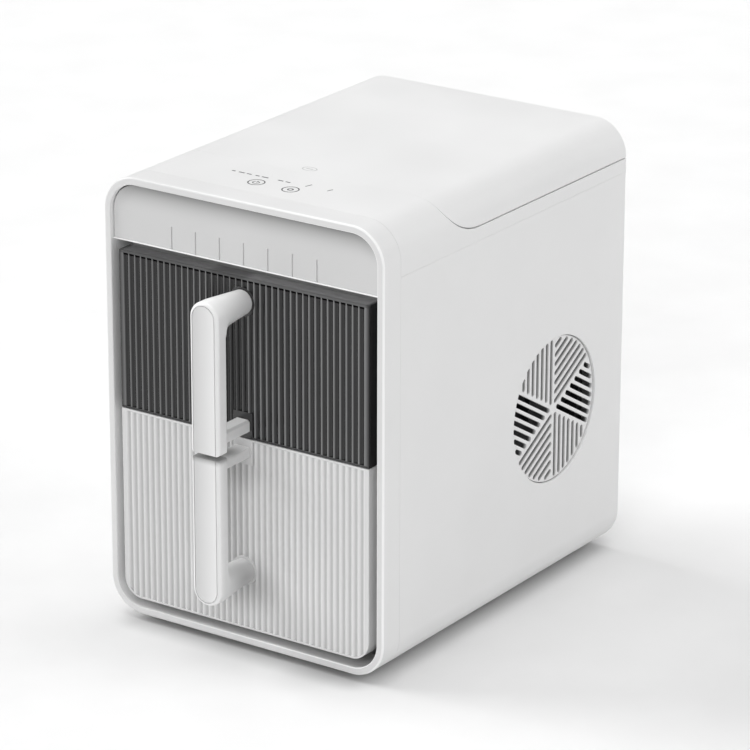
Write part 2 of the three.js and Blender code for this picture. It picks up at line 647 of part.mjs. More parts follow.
// One slot of the grille as a path: a run along `angle`, offset to its left, between two distances.
function slotPath(angle, offset, from, to) {
  const points = [];
  const along = new THREE.Vector2(Math.cos(angle), Math.sin(angle));
  const across = new THREE.Vector2(-along.y, along.x);
  for (const [centre, turn] of [[to, -Math.PI / 2], [from, Math.PI / 2]]) {
    for (let i = 0; i <= SLOT_ENDS; i += 1) {
      const bend = turn + (Math.PI * i) / SLOT_ENDS;
      const forward = centre + (SLOT_W / 2) * Math.cos(bend);
      const left = offset + (SLOT_W / 2) * Math.sin(bend);
      const x = VENT_Y + along.x * forward + across.x * left;
      const z = VENT_RISE + along.y * forward + across.y * left;
      points.push(new THREE.Vector2(x, z));
    }
  }
  return new THREE.Path(points);
}

// A full round as a polygon, fine enough for the vent and the fan duct.
function circle(y, z, radius, target = new THREE.Shape()) {
  const steps = 2 * ROUND_STEPS;
  for (let i = 0; i < steps; i += 1) {
    const angle = (2 * Math.PI * i) / steps;
    const point = [y + radius * Math.cos(angle), z + radius * Math.sin(angle)];
    if (i === 0) target.moveTo(...point);
    else target.lineTo(...point);
  }
  target.closePath();
  return target;
}

function addGrille() {
  const radius = VENT_R - FIT;
  const reach = radius - SLOT_RIM - SLOT_W / 2;
  const spread = (2 * Math.PI) / SECTORS;
  const rib = SLOT_PITCH - SLOT_W;
  const face = circle(VENT_Y, VENT_RISE, radius);
  for (let sector = 0; sector < SECTORS; sector += 1) {
    const angle = Math.PI / 2 - sector * spread;
    for (let i = 0; i < SLOTS_PER_SECTOR; i += 1) {
      const offset = rib / 2 + SLOT_W / 2 + i * SLOT_PITCH;
      const from = offset / Math.tan(spread) + (rib / 2 + SLOT_W / 2) / Math.sin(spread);
      const to = Math.sqrt(reach ** 2 - offset ** 2);
      if (to > from) face.holes.push(slotPath(angle, offset, from, to));
    }
  }
  const out = HALF_W - VENT_SET;
  const plate = prismX(face, [out - VENT_T, out]);
  const ring = circle(VENT_Y, VENT_RISE, VENT_R + VENT_FLANGE);
  ring.holes.push(circle(VENT_Y, VENT_RISE, radius - SLOT_RIM / 2, new THREE.Path()));
  const flange = prismX(ring, [GRILLE_BACK, HALF_W - WALL - FIT]);
  const seat = circle(VENT_Y, VENT_RISE, radius);
  seat.holes.push(circle(VENT_Y, VENT_RISE, radius - SLOT_RIM / 2, new THREE.Path()));
  addPart("vent_grille", join(plate, flange, prismX(seat, [GRILLE_BACK, out])), PANEL);
}

// ---- Drawer fronts, boxes and runners -----------------------------------------------------------
// Top view of a fluted front: a flat margin, then hollow flutes with narrow crests between them.
function flutedOutline(depth) {
  const half = FLUTE_PITCH / 2;
  const reach = half - FLUTE_LAND / 2;
  const shape = new THREE.Shape();
  shape.moveTo(-FRONT_HALF, depth);
  shape.lineTo(-FRONT_HALF, PAD_PROUD);
  for (let flute = 0; flute < FLUTES; flute += 1) {
    const middle = (flute - (FLUTES - 1) / 2) * FLUTE_PITCH;
    for (let i = 0; i <= FLUTE_STEPS; i += 1) {
      const across = (2 * i) / FLUTE_STEPS - 1;
      shape.lineTo(middle + across * reach, PAD_PROUD + FLUTE_DEEP * (1 - across ** 2));
    }
  }
  shape.lineTo(FRONT_HALF, PAD_PROUD);
  shape.lineTo(FRONT_HALF, depth);
  shape.closePath();
  return shape;
}

// A drawer front between two heights. `split` is +1 when the split is its lower edge, -1 when upper.
function drawerFront(z, cornerR, armZ, split) {
  const fluted = prismZ(flutedOutline(FRONT_T), z);
  const outline = prismY(upright(FRONT_HALF, z, cornerR, 0), [-CUT, FRONT_T + CUT]);
  const inner = FRONT_HALF - FRONT_RIM;
  const pocketZ = [z[0] + FRONT_RIM, z[1] - FRONT_RIM];
  const pocket = box([-inner, inner], [FLUTE_DEEP + FRONT_SKIN, FRONT_T + CUT], pocketZ);
  const edge = split > 0 ? z[0] : z[1];
  const padZ = [edge, edge + split * PAD_H].sort((a, b) => a - b);
  const pad = box([-PAD_W / 2, PAD_W / 2], [0, FLUTE_DEEP + FRONT_SKIN], padZ);
  const round = rodY(PAD_R, [0, FLUTE_DEEP + FRONT_SKIN]).translate([0, 0, armZ]);
  return cut(join(fluted, pad, round).intersect(outline), pocket);
}

// An open-topped box behind a drawer front, with a rail along each side. Its rear wall can be lower.
function drawerBox(z, backTop, rail) {
  const y = [FRONT_T, BOX_BACK];
  const inside = BOX_HALF - BOX_WALL;
  const hollow = box([-inside, inside], [y[0] + BOX_WALL, y[1] - BOX_WALL], [z[0] + BOX_WALL, z[1] + CUT]);
  const low = box([-inside, inside], [y[1] - 2 * BOX_WALL, y[1] + CUT], [backTop, z[1] + CUT]);
  const railX = BOX_HALF + RAIL_REACH;
  const rails = box([-railX, railX], [y[0] + BOX_WALL, y[1]], [rail, rail + RAIL_T]);
  const outer = join(box([-BOX_HALF, BOX_HALF], y, z), rails);
  return cut(outer, hollow, low);
}

function addRunners(name, rail, end) {
  const out = INNER_HALF;
  const tip = BOX_HALF + RAIL_REACH;
  const inner = tip - RUNNER_LAP;
  const y = [RUNNER_FRONT, end];
  const z = [rail - FIT - RUNNER_T, rail + RAIL_T + FIT + RUNNER_T];
  const channel = box([inner, out], y, z);
  const slot = box([inner - CUT, tip + FIT], [y[0] - CUT, y[1] + CUT], [rail - FIT, rail + RAIL_T + FIT]);
  const right = cut(channel, slot);
  addPart(`${name}_runner_right`, right, LINER);
  addPart(`${name}_runner_left`, right.mirror([1, 0, 0]), LINER);
}

// ---- Handles ------------------------------------------------------------------------------------
// Front outline of a grip, drawn upwards from its square end at z = 0 to its round end.
function gripOutline(inset, low, corner) {
  const half = GRIP_W / 2 - inset;
  return upright(half, [low, GRIP_L - inset], corner, half);
}

// A handle drawn upwards from the split between the drawers; z = 0 is the square end of its grip.
function handleSolids() {
  const grip = prismY(gripOutline(0, 0, GRIP_CORNER_R), [-GRIP_REACH, -GRIP_REACH + GRIP_T]);
  const seat = prismY(gripOutline(CAP_INSET - FIT, -CUT, 0), [-GRIP_REACH - CUT, -GRIP_REACH + CAP_T]);
  const cap = prismY(gripOutline(CAP_INSET, 0, 0), [-GRIP_REACH, -GRIP_REACH + CAP_T]);
  const back = -GRIP_REACH + GRIP_T;
  const armZ = GRIP_L - GRIP_W / 2;
  const arm = rodY(GRIP_W / 2, [back - GRIP_T / 2, 0], ROUND_STEPS, ARM_R).translate([0, 0, armZ]);
  const fillet = new THREE.Shape();
  fillet.moveTo(back - CUT, armZ);
  fillet.lineTo(back - CUT, armZ - GRIP_W / 2 - ARM_FILLET);
  fillet.lineTo(back, armZ - GRIP_W / 2 - ARM_FILLET);
  fillet.absarc(back + ARM_FILLET, armZ - GRIP_W / 2 - ARM_FILLET, ARM_FILLET, Math.PI, Math.PI / 2, true);
  fillet.lineTo(back + ARM_FILLET, armZ);
  fillet.closePath();
  const web = prismX(fillet, [-ARM_R * 0.8, ARM_R * 0.8]);
  const low = STUB_OFFSET - GRIP_SPLIT;
  const stub = new THREE.Shape();
  stub.moveTo(-STUB_W / 2, low);
  stub.lineTo(STUB_W / 2, low);
  stub.lineTo(STUB_W / 2, low + STUB_H - STUB_CHAMFER);
  stub.lineTo(STUB_W / 2 - STUB_CHAMFER, low + STUB_H);
  stub.lineTo(-STUB_W / 2 + STUB_CHAMFER, low + STUB_H);
  stub.lineTo(-STUB_W / 2, low + STUB_H - STUB_CHAMFER);
  stub.closePath();
  const handle = cut(join(grip, arm, web, prismY(stub, [back - CUT, 0])), seat);
  return { handle, cap, armRise: GRIP_SPLIT + armZ };
}

function addDrawers() {
  const { handle, cap, armRise } = handleSolids();
  const iceBox = ICE_BOTTOM + BOX_RISE;
  const tankBox = TANK_BOTTOM + BOX_RISE;
  const iceFront = drawerFront([ICE_BOTTOM, ICE_TOP], 0, SPLIT_Z + armRise, 1);
  addPart("ice_drawer_front", iceFront, SMOKE);
  const bin = drawerBox([iceBox, ICE_TOP - ICE_BOX_DROP], TUB_UNDER - BIN_BACK_DROP, iceBox + RAIL_UP);
  addPart("ice_bin", bin, CLEAR);
  const iceGroup = addGroup([0, 0, SPLIT_Z + GRIP_SPLIT]);
  addPart("ice_handle", handle, WHITE, iceGroup);
  addPart("ice_handle_cap", cap, WHITE, iceGroup);
  addRunners("ice", iceBox + RAIL_UP, TUB_FRONT - FIT);

  const tankFront = drawerFront([TANK_BOTTOM, TANK_TOP], TANK_CORNER_R, SPLIT_Z - armRise, -1);
  addPart("tank_drawer_front", tankFront, WHITE);
  const tankTop = SHELF_TOP - SHELF_T - TANK_HEAD;
  const outlet = tankBox + BOX_WALL + SPOUT_RISE;
  const bore = rodY(SPOUT_BORE, [BOX_BACK - 2 * BOX_WALL, BULKHEAD_BACK + DOCK_L], 12)
    .translate([0, 0, outlet]);
  addPart("water_tank", cut(drawerBox([tankBox, tankTop], tankTop, tankBox + RAIL_UP), bore), CLEAR);
  const spoutEnd = BOX_BACK + SPOUT_L + 2;
  const spout = join(rodY(SPOUT_R + 3, [BOX_BACK, BOX_BACK + 2]), rodY(SPOUT_R, [BOX_BACK, spoutEnd]));
  addPart("tank_spout", cut(spout.translate([0, 0, outlet]), bore), RUBBER);
  const tankGroup = addGroup([0, 0, SPLIT_Z - GRIP_SPLIT]);
  addPart("tank_handle", handle.mirror([0, 0, 1]), WHITE, tankGroup);
  addPart("tank_handle_cap", cap.mirror([0, 0, 1]), WHITE, tankGroup);
  addRunners("tank", tankBox + RAIL_UP, BULKHEAD_Y - FIT);
  return outlet;
}

// ---- Inner walls --------------------------------------------------------------------------------
function addInnerWalls(outlet) {
  const shelfY = [SHELL_FRONT + SPIGOT_D + FIT, BULKHEAD_Y - FIT];
  addPart("bay_shelf", box([-INNER_HALF, INNER_HALF], shelfY, [SHELF_TOP - SHELF_T, SHELF_TOP]), LINER);

  const wallOutline = upright(INNER_HALF, [FLOOR_Z + FIT, TUB_UNDER - FIT], EDGE_R - WALL - FIT, 0);
  let wall = prismY(wallOutline, [BULKHEAD_Y, BULKHEAD_BACK]);
  for (const side of [-1, 1]) {
    const notch = [side * (BASE_HALF - WALL - FIT), side * (BASE_HALF + FIT)].sort((a, b) => a - b);
    wall = cut(wall, box(notch, slab.y, [BOTTOM, BOTTOM + BASE_LIP + FIT]));
  }
  const dockEnd = BULKHEAD_BACK + DOCK_L;
  const cup = SPOUT_R + 2 * FIT;
  const dock = rodY(cup + DOCK_WALL, [BULKHEAD_Y, dockEnd]).translate([0, 0, outlet]);
  const nozzle = rodY(NOZZLE_R, [dockEnd - DOCK_WALL, dockEnd + NOZZLE_L], 12).translate([0, 0, outlet]);
  const socket = rodY(cup, [BULKHEAD_Y - CUT, dockEnd - DOCK_WALL]).translate([0, 0, outlet]);
  const bore = rodY(NOZZLE_R / 2, [BULKHEAD_Y, dockEnd + NOZZLE_L + CUT], 12).translate([0, 0, outlet]);
  const standoffs = [-1, 1].flatMap((side) => [-1, 1].map((end) => {
    const x = POWER_X + side * (POWER_HALF - 2 * STANDOFF_R);
    const z = POWER_Z + POWER_H / 2 + end * (POWER_H / 2 - 2 * STANDOFF_R);
    return rodY(STANDOFF_R, [BULKHEAD_Y + 1, BULKHEAD_BACK + 2 * STANDOFF_R], 10).translate([x, 0, z]);
  }));
  addPart("bulkhead", cut(join(wall, dock, nozzle, ...standoffs), socket, bore), LINER);
  return dockEnd + NOZZLE_L;
}

function addTub() {
  const inside = TUB_HALF - TUB_WALL;
  const rearIn = TUB_REAR - TUB_WALL;
  const shellY = [TUB_FRONT, TUB_REAR];
  const outer = box([-TUB_HALF, TUB_HALF], shellY, [TUB_UNDER, DECK_TOP]);
  const deckZ = [DECK_TOP - DECK_T, DECK_TOP];
  const flange = box([-INNER_HALF, INNER_HALF], [BULKHEAD_BACK, REAR_IN - FIT], deckZ);
  const hollow = box([-inside, inside], [TUB_FRONT - CUT, rearIn], [TUB_FLOOR, DECK_TOP + CUT]);
  const across = [-TUB_HALF - CUT, TUB_HALF + CUT];
  const flapHole = rodX(TRAY_PIN_R + PIVOT_FIT, across, 12).translate([0, FLAP_Y, FLAP_Z]);
  const trayHole = rodX(TRAY_PIN_R + PIVOT_FIT, across, 12).translate([0, TRAY_PIVOT_Y, TRAY_PIVOT_Z]);
  const lineZ = EVAP_Z + EVAP_T / 2;
  const suction = rodY(TUBE_R + 2 * FIT, [rearIn - CUT, TUB_REAR + CUT], 12).translate([SUCTION_X, 0, lineZ]);
  const capillary = rodY(CAPILLARY_R + 2 * FIT, [rearIn - CUT, TUB_REAR + CUT], 12)
    .translate([DRIER_X, 0, lineZ]);
  const riserTop = EVAP_Z - TRAY_CLEAR - 1;
  const riser = rodZ(HOSE_R, [TUB_UNDER - 1, riserTop], 12).translate([DRIER_X, FEED_Y, 0]);
  const tongueY = [EVAP_Y + EVAP_D / 2 - HOSE_R + 1, FEED_Y];
  const tongueX = [DRIER_X - HOSE_R / 1.5, DRIER_X + HOSE_R / 1.5];
  const tongue = box(tongueX, tongueY, [riserTop - TRAY_CLEAR, riserTop]);
  const nipple = rodZ(HOSE_R, [TUB_UNDER - 2 * HOSE_R, TUB_UNDER + 1], 12).translate([DRIER_X, FEED_Y, 0]);
  const tub = cut(join(outer, flange), hollow, flapHole, trayHole, suction, capillary);
  addPart("chamber_tub", join(tub, riser, tongue, nipple), LINER);
}

// ---- Ice making ---------------------------------------------------------------------------------
function addIceMaking() {
  const evapY = [EVAP_Y - EVAP_D / 2, EVAP_Y + EVAP_D / 2];
  let evaporator = box([-EVAP_HALF, EVAP_HALF], evapY, [EVAP_Z, EVAP_Z + EVAP_T]);
  const bracketY = [evapY[1] - CUT, TUB_REAR - TUB_WALL - FIT];
  evaporator = join(evaporator, box([-EVAP_HALF / 3, EVAP_HALF / 3], bracketY, [EVAP_Z, EVAP_Z + EVAP_T]));
  const tip = EVAP_Z - FINGER_L;
  const finger = turned([[0, tip], [FINGER_R * 0.6, tip + 0.6], [FINGER_R, tip + FINGER_R],
    [FINGER_R, EVAP_Z + 1], [0, EVAP_Z + 1]], 10);
  for (const [row, count] of [[-1, 5], [1, 4]]) {
    for (let i = 0; i < count; i += 1) {
      const x = (i - (count - 1) / 2) * FINGER_PITCH;
      evaporator = join(evaporator, finger.translate([x, EVAP_Y + (row * FINGER_ROW) / 2, 0]));
    }
  }
  addPart("evaporator", evaporator, ALUMINIUM);

  const half = EVAP_HALF + TRAY_CLEAR;
  const z = [tip - TRAY_CLEAR, tip - TRAY_CLEAR + TRAY_H];
  const y = [evapY[0] - TRAY_CLEAR, TRAY_REAR];
  const inner = half - TRAY_WALL;
  const hollow = box([-inner, inner], [y[0] + TRAY_WALL, y[1] - TRAY_WALL], [z[0] + TRAY_WALL, z[1] + CUT]);
  const trough = cut(box([-half, half], y, z), hollow);
  const earY = [y[1] - CUT, TRAY_PIVOT_Y + TRAY_PIN_R + 1];
  const ears = [-1, 1].map((side) => {
    const x = [side * half, side * (half - 3 * TRAY_WALL)].sort((a, b) => a - b);
    return box(x, earY, [TRAY_PIVOT_Z - TRAY_PIN_R - 1, TRAY_PIVOT_Z + TRAY_PIN_R + 1]);
  });
  const pins = [-1, 1].map((side) => {
    const x = [side * (half - TRAY_WALL), side * TUB_HALF].sort((a, b) => a - b);
    return rodX(TRAY_PIN_R, x, 12).translate([0, TRAY_PIVOT_Y, TRAY_PIVOT_Z]);
  });
  addPart("water_tray", join(trough, ...ears, ...pins), LINER);

  const motorX = [-TUB_HALF - FIT - MOTOR_T, -TUB_HALF - FIT];
  addPart("tray_motor", rodX(MOTOR_R, motorX).translate([0, TRAY_PIVOT_Y, TRAY_PIVOT_Z]), BLACK);

  const bladeY = [FLAP_Y - FLAP_T / 2, FLAP_Y + FLAP_T / 2];
  const blade = box([-FLAP_HALF, FLAP_HALF], bladeY, [TUB_FLOOR + FLAP_CLEAR, FLAP_Z]);
  const shaft = rodX(TRAY_PIN_R, [-TUB_HALF, TUB_HALF], 12).translate([0, FLAP_Y, FLAP_Z]);
  addPart("chute_flap", join(blade, shaft), CLEAR);
}

// ---- Cooling machine ----------------------------------------------------------------------------
function addFan() {
  const fan = addGroup([0, VENT_Y, VENT_RISE]);
  const duct = circle(0, 0, FAN_R + DUCT_GAP, new THREE.Path());
  const frame = new THREE.Shape();
  frame.moveTo(-SHROUD_HALF, -SHROUD_HALF);
  frame.lineTo(SHROUD_HALF, -SHROUD_HALF);
  frame.lineTo(SHROUD_HALF, SHROUD_HALF);
  frame.lineTo(-SHROUD_HALF, SHROUD_HALF);
  frame.closePath();
  frame.holes.push(duct);
  const strutX = [SHROUD_IN, SHROUD_IN + STRUT_T];
  const reach = FAN_R + 2 * DUCT_GAP;
  const strut = box(strutX, [-reach, reach], [-STRUT_T, STRUT_T]);
  const disc = rodX(FAN_MOTOR_R + 2, strutX, ROUND_STEPS);
  const body = join(prismX(frame, [SHROUD_IN, SHROUD_OUT]), strut, strut.rotate([90, 0, 0]), disc);
  addPart("fan_shroud", body, BLACK, fan);

  const motorX = [strutX[1], strutX[1] + FAN_MOTOR_T];
  const spindle = rodX(2, [motorX[0], motorX[1] + 4], 10);
  addPart("fan_motor", join(rodX(FAN_MOTOR_R, motorX), spindle), STEEL, fan);

  const hub = [motorX[0] + 2, motorX[1] + 6];
  const cup = rodX(FAN_HUB_R, hub);
  const bell = rodX(FAN_MOTOR_R + 1, [hub[0] - CUT, motorX[1] + 1]);
  const bore = rodX(2 + PIVOT_FIT, [motorX[1], motorX[1] + 4.5], 10);
  const middle = (hub[0] + hub[1]) / 2 + 1;
  let rotor = cut(cup, bell, bore);
  const bladeZ = [FAN_HUB_R - 1.5, FAN_R];
  const blade = box([-BLADE_T / 2, BLADE_T / 2], [-BLADE_CHORD / 2, BLADE_CHORD / 2], bladeZ);
  for (let i = 0; i < BLADES; i += 1) {
    const turn = (360 * i) / BLADES;
    const placed = blade.rotate([0, 0, BLADE_PITCH_DEG]).translate([middle, 0, 0]).rotate([turn, 0, 0]);
    rotor = join(rotor, cut(placed, rodX(FAN_HUB_R - 1, slab.x)));
  }
  addPart("fan_rotor", rotor, BLACK, fan);
}

function addCondenser() {
  const y = [VENT_Y - COIL_HALF, VENT_Y + COIL_HALF];
  const z = [VENT_RISE - COIL_HALF, VENT_RISE + COIL_HALF];
  let coil = box([COIL_IN, COIL_OUT], y, z);
  const pitch = (2 * COIL_HALF) / (COIL_GROOVES + 1);
  for (let i = 1; i <= COIL_GROOVES; i += 1) {
    const at = y[0] + i * pitch;
    const across = [at - GROOVE_W / 2, at + GROOVE_W / 2];
    const inner = [COIL_IN - CUT, COIL_IN + GROOVE_DEEP];
    coil = cut(coil, box([COIL_OUT - GROOVE_DEEP, COIL_OUT + CUT], across, [z[0] - CUT, z[1] + CUT]));
    coil = cut(coil, box(inner, across, [z[0] + pitch, z[1] - pitch]));
  }
  addPart("condenser", coil, ALUMINIUM);

  const stand = new THREE.Shape();
  const outY = [y[0] - FIT - STAND_T, y[1] + FIT + STAND_T];
  stand.moveTo(outY[0], FLOOR_Z + FIT);
  stand.lineTo(outY[1], FLOOR_Z + FIT);
  stand.lineTo(outY[1], z[1]);
  stand.lineTo(outY[0], z[1]);
  stand.closePath();
  const window = (low, high) => {
    const path = new THREE.Path();
    path.moveTo(outY[0] + STAND_T, low);
    path.lineTo(outY[1] - STAND_T, low);
    path.lineTo(outY[1] - STAND_T, high);
    path.lineTo(outY[0] + STAND_T, high);
    path.closePath();
    return path;
  };
  stand.holes.push(window(FLOOR_Z + FIT + STAND_T, z[0] - FIT - STAND_T));
  const cradle = prismX(stand, [COIL_IN + 1, COIL_OUT - 1]);
  const above = box([COIL_IN, COIL_OUT], [outY[0] + STAND_T, outY[1] - STAND_T], [z[0] - FIT, z[1] + CUT]);
  addPart("condenser_stand", cut(cradle, above), STEEL);
  return { y, z };
}

function addCompressor() {
  const group = addGroup([COMP_X, COMP_Y, FLOOR_Z]);
  const foot = [MOUNT_H + FIT, MOUNT_H + FIT + COMP_FOOT_T];
  const body = [foot[1] - 0.5, foot[1] + COMP_H];
  const seam = (body[0] + body[1]) / 2;
  const shell = turned([[0, body[0]], [COMP_R * 0.75, body[0]], [COMP_R - 2, body[0] + 12],
    [COMP_R - 2, seam - 2],
    [COMP_R, seam - 2], [COMP_R, seam + 2], [COMP_R - 2, seam + 2], [COMP_R - 2, body[1] - 18],
    [COMP_R * 0.7, body[1] - 5], [COMP_R * 0.35, body[1]], [0, body[1]]], 24);
  const plate = rodZ(MOUNT_RING + MOUNT_R, foot, 24);
  const stubAt = COMP_R * 0.3;
  const stub = rodZ(STUB_TUBE_R, [body[1] - 14, body[1] + STUB_TUBE_H], 10);
  const stubs = [stub.translate([stubAt, -stubAt, 0]), stub.translate([-stubAt, stubAt, 0])];
  let compressor = join(shell, plate, ...stubs);
  const peg = foot[1] + 1.5;
  const mount = turned([[0, 0], [MOUNT_R, 0], [MOUNT_R, MOUNT_H], [3, MOUNT_H], [3, peg], [0, peg]], 12);
  const hole = rodZ(3 + FIT, [foot[0] - CUT, foot[1] + CUT], 12);
  for (let i = 0; i < 3; i += 1) {
    const angle = (2 * Math.PI * i) / 3;
    const at = [(MOUNT_RING + 2) * Math.cos(angle), (MOUNT_RING + 2) * Math.sin(angle), 0];
    const well = rodZ(3 + 2 * FIT, [foot[0] - CUT, foot[1] + 3], 12).translate(at);
    compressor = cut(compressor, hole.translate(at), well);
    addPart(`compressor_mount_${i + 1}`, mount, RUBBER, addGroup(at, group));
  }
  addPart("compressor", compressor, BLACK, group);
  const top = FLOOR_Z + body[1] + STUB_TUBE_H;
  return {
    discharge: [COMP_X + stubAt, COMP_Y - stubAt, top],
    suction: [COMP_X - stubAt, COMP_Y + stubAt, top],
  };
}

function addLines(stubs, coil) {
  const [dx, dy, dz] = stubs.discharge;
  const intoCoil = [COIL_IN - FIT, coil.y[0] + 14, coil.z[1] - 12];
  const bend = [dx + DISCHARGE_RUN, intoCoil[1], intoCoil[2]];
  const discharge = [[dx, dy, dz + FIT], [dx, dy, intoCoil[2] - 10], bend, intoCoil];
  addPart("discharge_line", line(discharge, TUBE_R, 24), COPPER);

  const drierY = REAR_IN - FIT - DRIER_R;
  const drier = turned([[0, 0], [TUBE_R + 1, 0], [DRIER_R, 8], [DRIER_R, DRIER_L - 8],
    [TUBE_R + 1, DRIER_L], [0, DRIER_L]], 14);
  addPart("filter_drier", drier, COPPER, addGroup([DRIER_X, drierY, DRIER_Z]));
  const fromCoil = [COIL_IN - FIT, coil.y[1] - 14, coil.z[0] + 10];
  const under = DRIER_Z - FIT;
  const liquid = [fromCoil, [fromCoil[0] - 12, fromCoil[1], fromCoil[2]], [DRIER_X, drierY, under - 18],
    [DRIER_X, drierY, under]];
  addPart("liquid_line", line(liquid, TUBE_R, 20, TUBE_R * 3), COPPER);

  const plateZ = EVAP_Z + EVAP_T / 2;
  const plateBack = EVAP_Y + EVAP_D / 2 + FIT;
  const rise = DRIER_Z + DRIER_L + FIT;
  const capillary = [[DRIER_X, drierY, rise], [DRIER_X, drierY, plateZ], [DRIER_X, plateBack, plateZ]];
  addPart("capillary_line", line(capillary, CAPILLARY_R, 24, TUBE_R * 2), COPPER);

  const [sx, sy, sz] = stubs.suction;
  const suction = [[SUCTION_X, plateBack, plateZ], [SUCTION_X, LINE_REAR, plateZ],
    [SUCTION_X, LINE_REAR, TUB_UNDER - SUCTION_DROP], [sx, sy, sz + 22], [sx, sy, sz + FIT]];
  addPart("suction_line", line(suction, TUBE_R, 32, TUBE_R * 3), COPPER);
}

function addPump(outlet, dockEnd) {
  const nozzle = [dockEnd + FIT, dockEnd + FIT + NOZZLE_L + 2];
  const pumpY = nozzle[1] + PUMP_R - 1;
  const top = FLOOR_Z + PUMP_H;
  const inlet = rodY(NOZZLE_R, [nozzle[0] - pumpY, 0], 12).translate([0, 0, outlet]);
  const riser = rodZ(NOZZLE_R, [top - 1, top + NOZZLE_L], 12);
  const group = addGroup([0, pumpY, 0]);
  addPart("water_pump", join(rodZ(PUMP_R, [FLOOR_Z, top], ROUND_STEPS), inlet, riser), BLACK, group);
  const start = top + NOZZLE_L + FIT;
  const end = TUB_UNDER - 2 * HOSE_R - FIT;
  const route = [[0, pumpY, start], [0, pumpY, start + HOSE_RISE],
    [DRIER_X, FEED_Y, end - HOSE_DROP], [DRIER_X, FEED_Y, end]];
  addPart("pump_hose", line(route, HOSE_R, 22, HOSE_R * 5), RUBBER);
}

// ---- Electrics ----------------------------------------------------------------------------------
function addElectrics() {
  const boardTop = TOP - CONTROL_DROP - FIT;
  const boardY = [CONTROL_Y - CONTROL_D / 2, CONTROL_Y + CONTROL_D / 2];
  addPart("control_board", box([-CONTROL_X, CONTROL_X], boardY, [boardTop - BOARD_T, boardTop]), BOARD);

  const seat = BULKHEAD_BACK + 2 * STANDOFF_R + FIT;
  const x = [POWER_X - POWER_HALF, POWER_X + POWER_HALF];
  const z = [POWER_Z, POWER_Z + POWER_H];
  const board = box(x, [seat, seat + BOARD_T], z);
  const back = seat + BOARD_T - FIT;
  const mounted = ([across, out, up], [right, down]) => {
    const middle = [x[0] + right, z[1] - down];
    const width = [middle[0] - across / 2, middle[0] + across / 2];
    return box(width, [back, back + out], [middle[1] - up / 2, middle[1] + up / 2]);
  };
  const capacitorAt = [x[0] + CAPACITOR_AT[0], 0, z[1] - CAPACITOR_AT[1]];
  const capacitor = rodY(CAPACITOR_R, [back, back + CAPACITOR_L], 14).translate(capacitorAt);
  const blocks = [
    mounted(TRANSFORMER, TRANSFORMER_AT), mounted(RELAY, RELAY_AT), mounted(TERMINALS, TERMINALS_AT),
  ];
  addPart("power_board", join(board, ...blocks, capacitor), BOARD);

  const lapX = [-INLET_HALF_W - FLANGE_LAP, INLET_HALF_W + FLANGE_LAP];
  const lapZ = [-INLET_HALF_H - FLANGE_LAP, INLET_HALF_H + FLANGE_LAP];
  const body = box([-INLET_HALF_W, INLET_HALF_W], [-INLET_D, 1], [-INLET_HALF_H, INLET_HALF_H]);
  const wall = 3;
  const socketX = [-INLET_HALF_W + wall, INLET_HALF_W - wall];
  const socketZ = [-INLET_HALF_H + wall, INLET_HALF_H - wall];
  const socket = box(socketX, [FLANGE_T - SOCKET_D, FLANGE_T + CUT], socketZ);
  const blades = [[-7, -2], [7, -2], [0, 3]].map(([bx, bz]) => {
    return box([bx - 1, bx + 1], [-SOCKET_D, -4], [bz - 2, bz + 2]);
  });
  const inlet = join(cut(join(body, box(lapX, [0, FLANGE_T], lapZ)), socket), ...blades);
  addPart("power_inlet", inlet, BLACK, addGroup([INLET_X, REAR_OUT, INLET_Z]));
}

addFrame();
addFascia();
addLid(addShell());
addHinges();
addRearCover();
addBase();
addGrille();
const outletZ = addDrawers();
addPump(outletZ, addInnerWalls(outletZ));
addTub();
addIceMaking();
addFan();
addLines(addCompressor(), addCondenser());
addElectrics();

export default model;
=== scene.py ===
"""Looks of a countertop ice maker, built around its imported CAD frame.

Lengths are in millimetres until a mesh is made, and places are measured in the frame's own axes:
X to the right, Y from the front to the back, Z up from the surface that it stands on.
"""

import json
import math

import bmesh
import bpy
from mathutils import Matrix, Vector

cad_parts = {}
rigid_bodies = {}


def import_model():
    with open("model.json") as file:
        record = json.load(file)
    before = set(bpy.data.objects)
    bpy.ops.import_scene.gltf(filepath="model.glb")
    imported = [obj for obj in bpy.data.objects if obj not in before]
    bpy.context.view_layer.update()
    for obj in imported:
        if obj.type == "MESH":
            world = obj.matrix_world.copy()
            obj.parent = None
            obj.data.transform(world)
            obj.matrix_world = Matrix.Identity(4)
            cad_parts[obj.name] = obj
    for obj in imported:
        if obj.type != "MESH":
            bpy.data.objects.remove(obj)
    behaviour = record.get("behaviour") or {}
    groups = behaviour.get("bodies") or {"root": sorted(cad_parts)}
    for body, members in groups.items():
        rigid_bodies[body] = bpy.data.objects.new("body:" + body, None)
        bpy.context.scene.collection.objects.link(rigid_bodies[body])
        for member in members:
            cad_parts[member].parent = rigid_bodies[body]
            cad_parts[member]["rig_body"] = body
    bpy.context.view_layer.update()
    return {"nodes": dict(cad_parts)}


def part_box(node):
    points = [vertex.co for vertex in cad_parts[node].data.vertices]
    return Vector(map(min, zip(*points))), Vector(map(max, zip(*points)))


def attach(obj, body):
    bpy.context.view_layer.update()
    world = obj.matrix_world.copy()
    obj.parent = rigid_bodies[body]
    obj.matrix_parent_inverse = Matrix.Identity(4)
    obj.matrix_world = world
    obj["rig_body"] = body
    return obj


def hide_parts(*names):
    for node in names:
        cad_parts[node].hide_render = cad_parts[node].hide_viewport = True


MM = 0.001

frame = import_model()


def span(node):
    """Lowest and highest corners of a CAD node, in millimetres."""
    low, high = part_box(node)
    return low / MM, high / MM


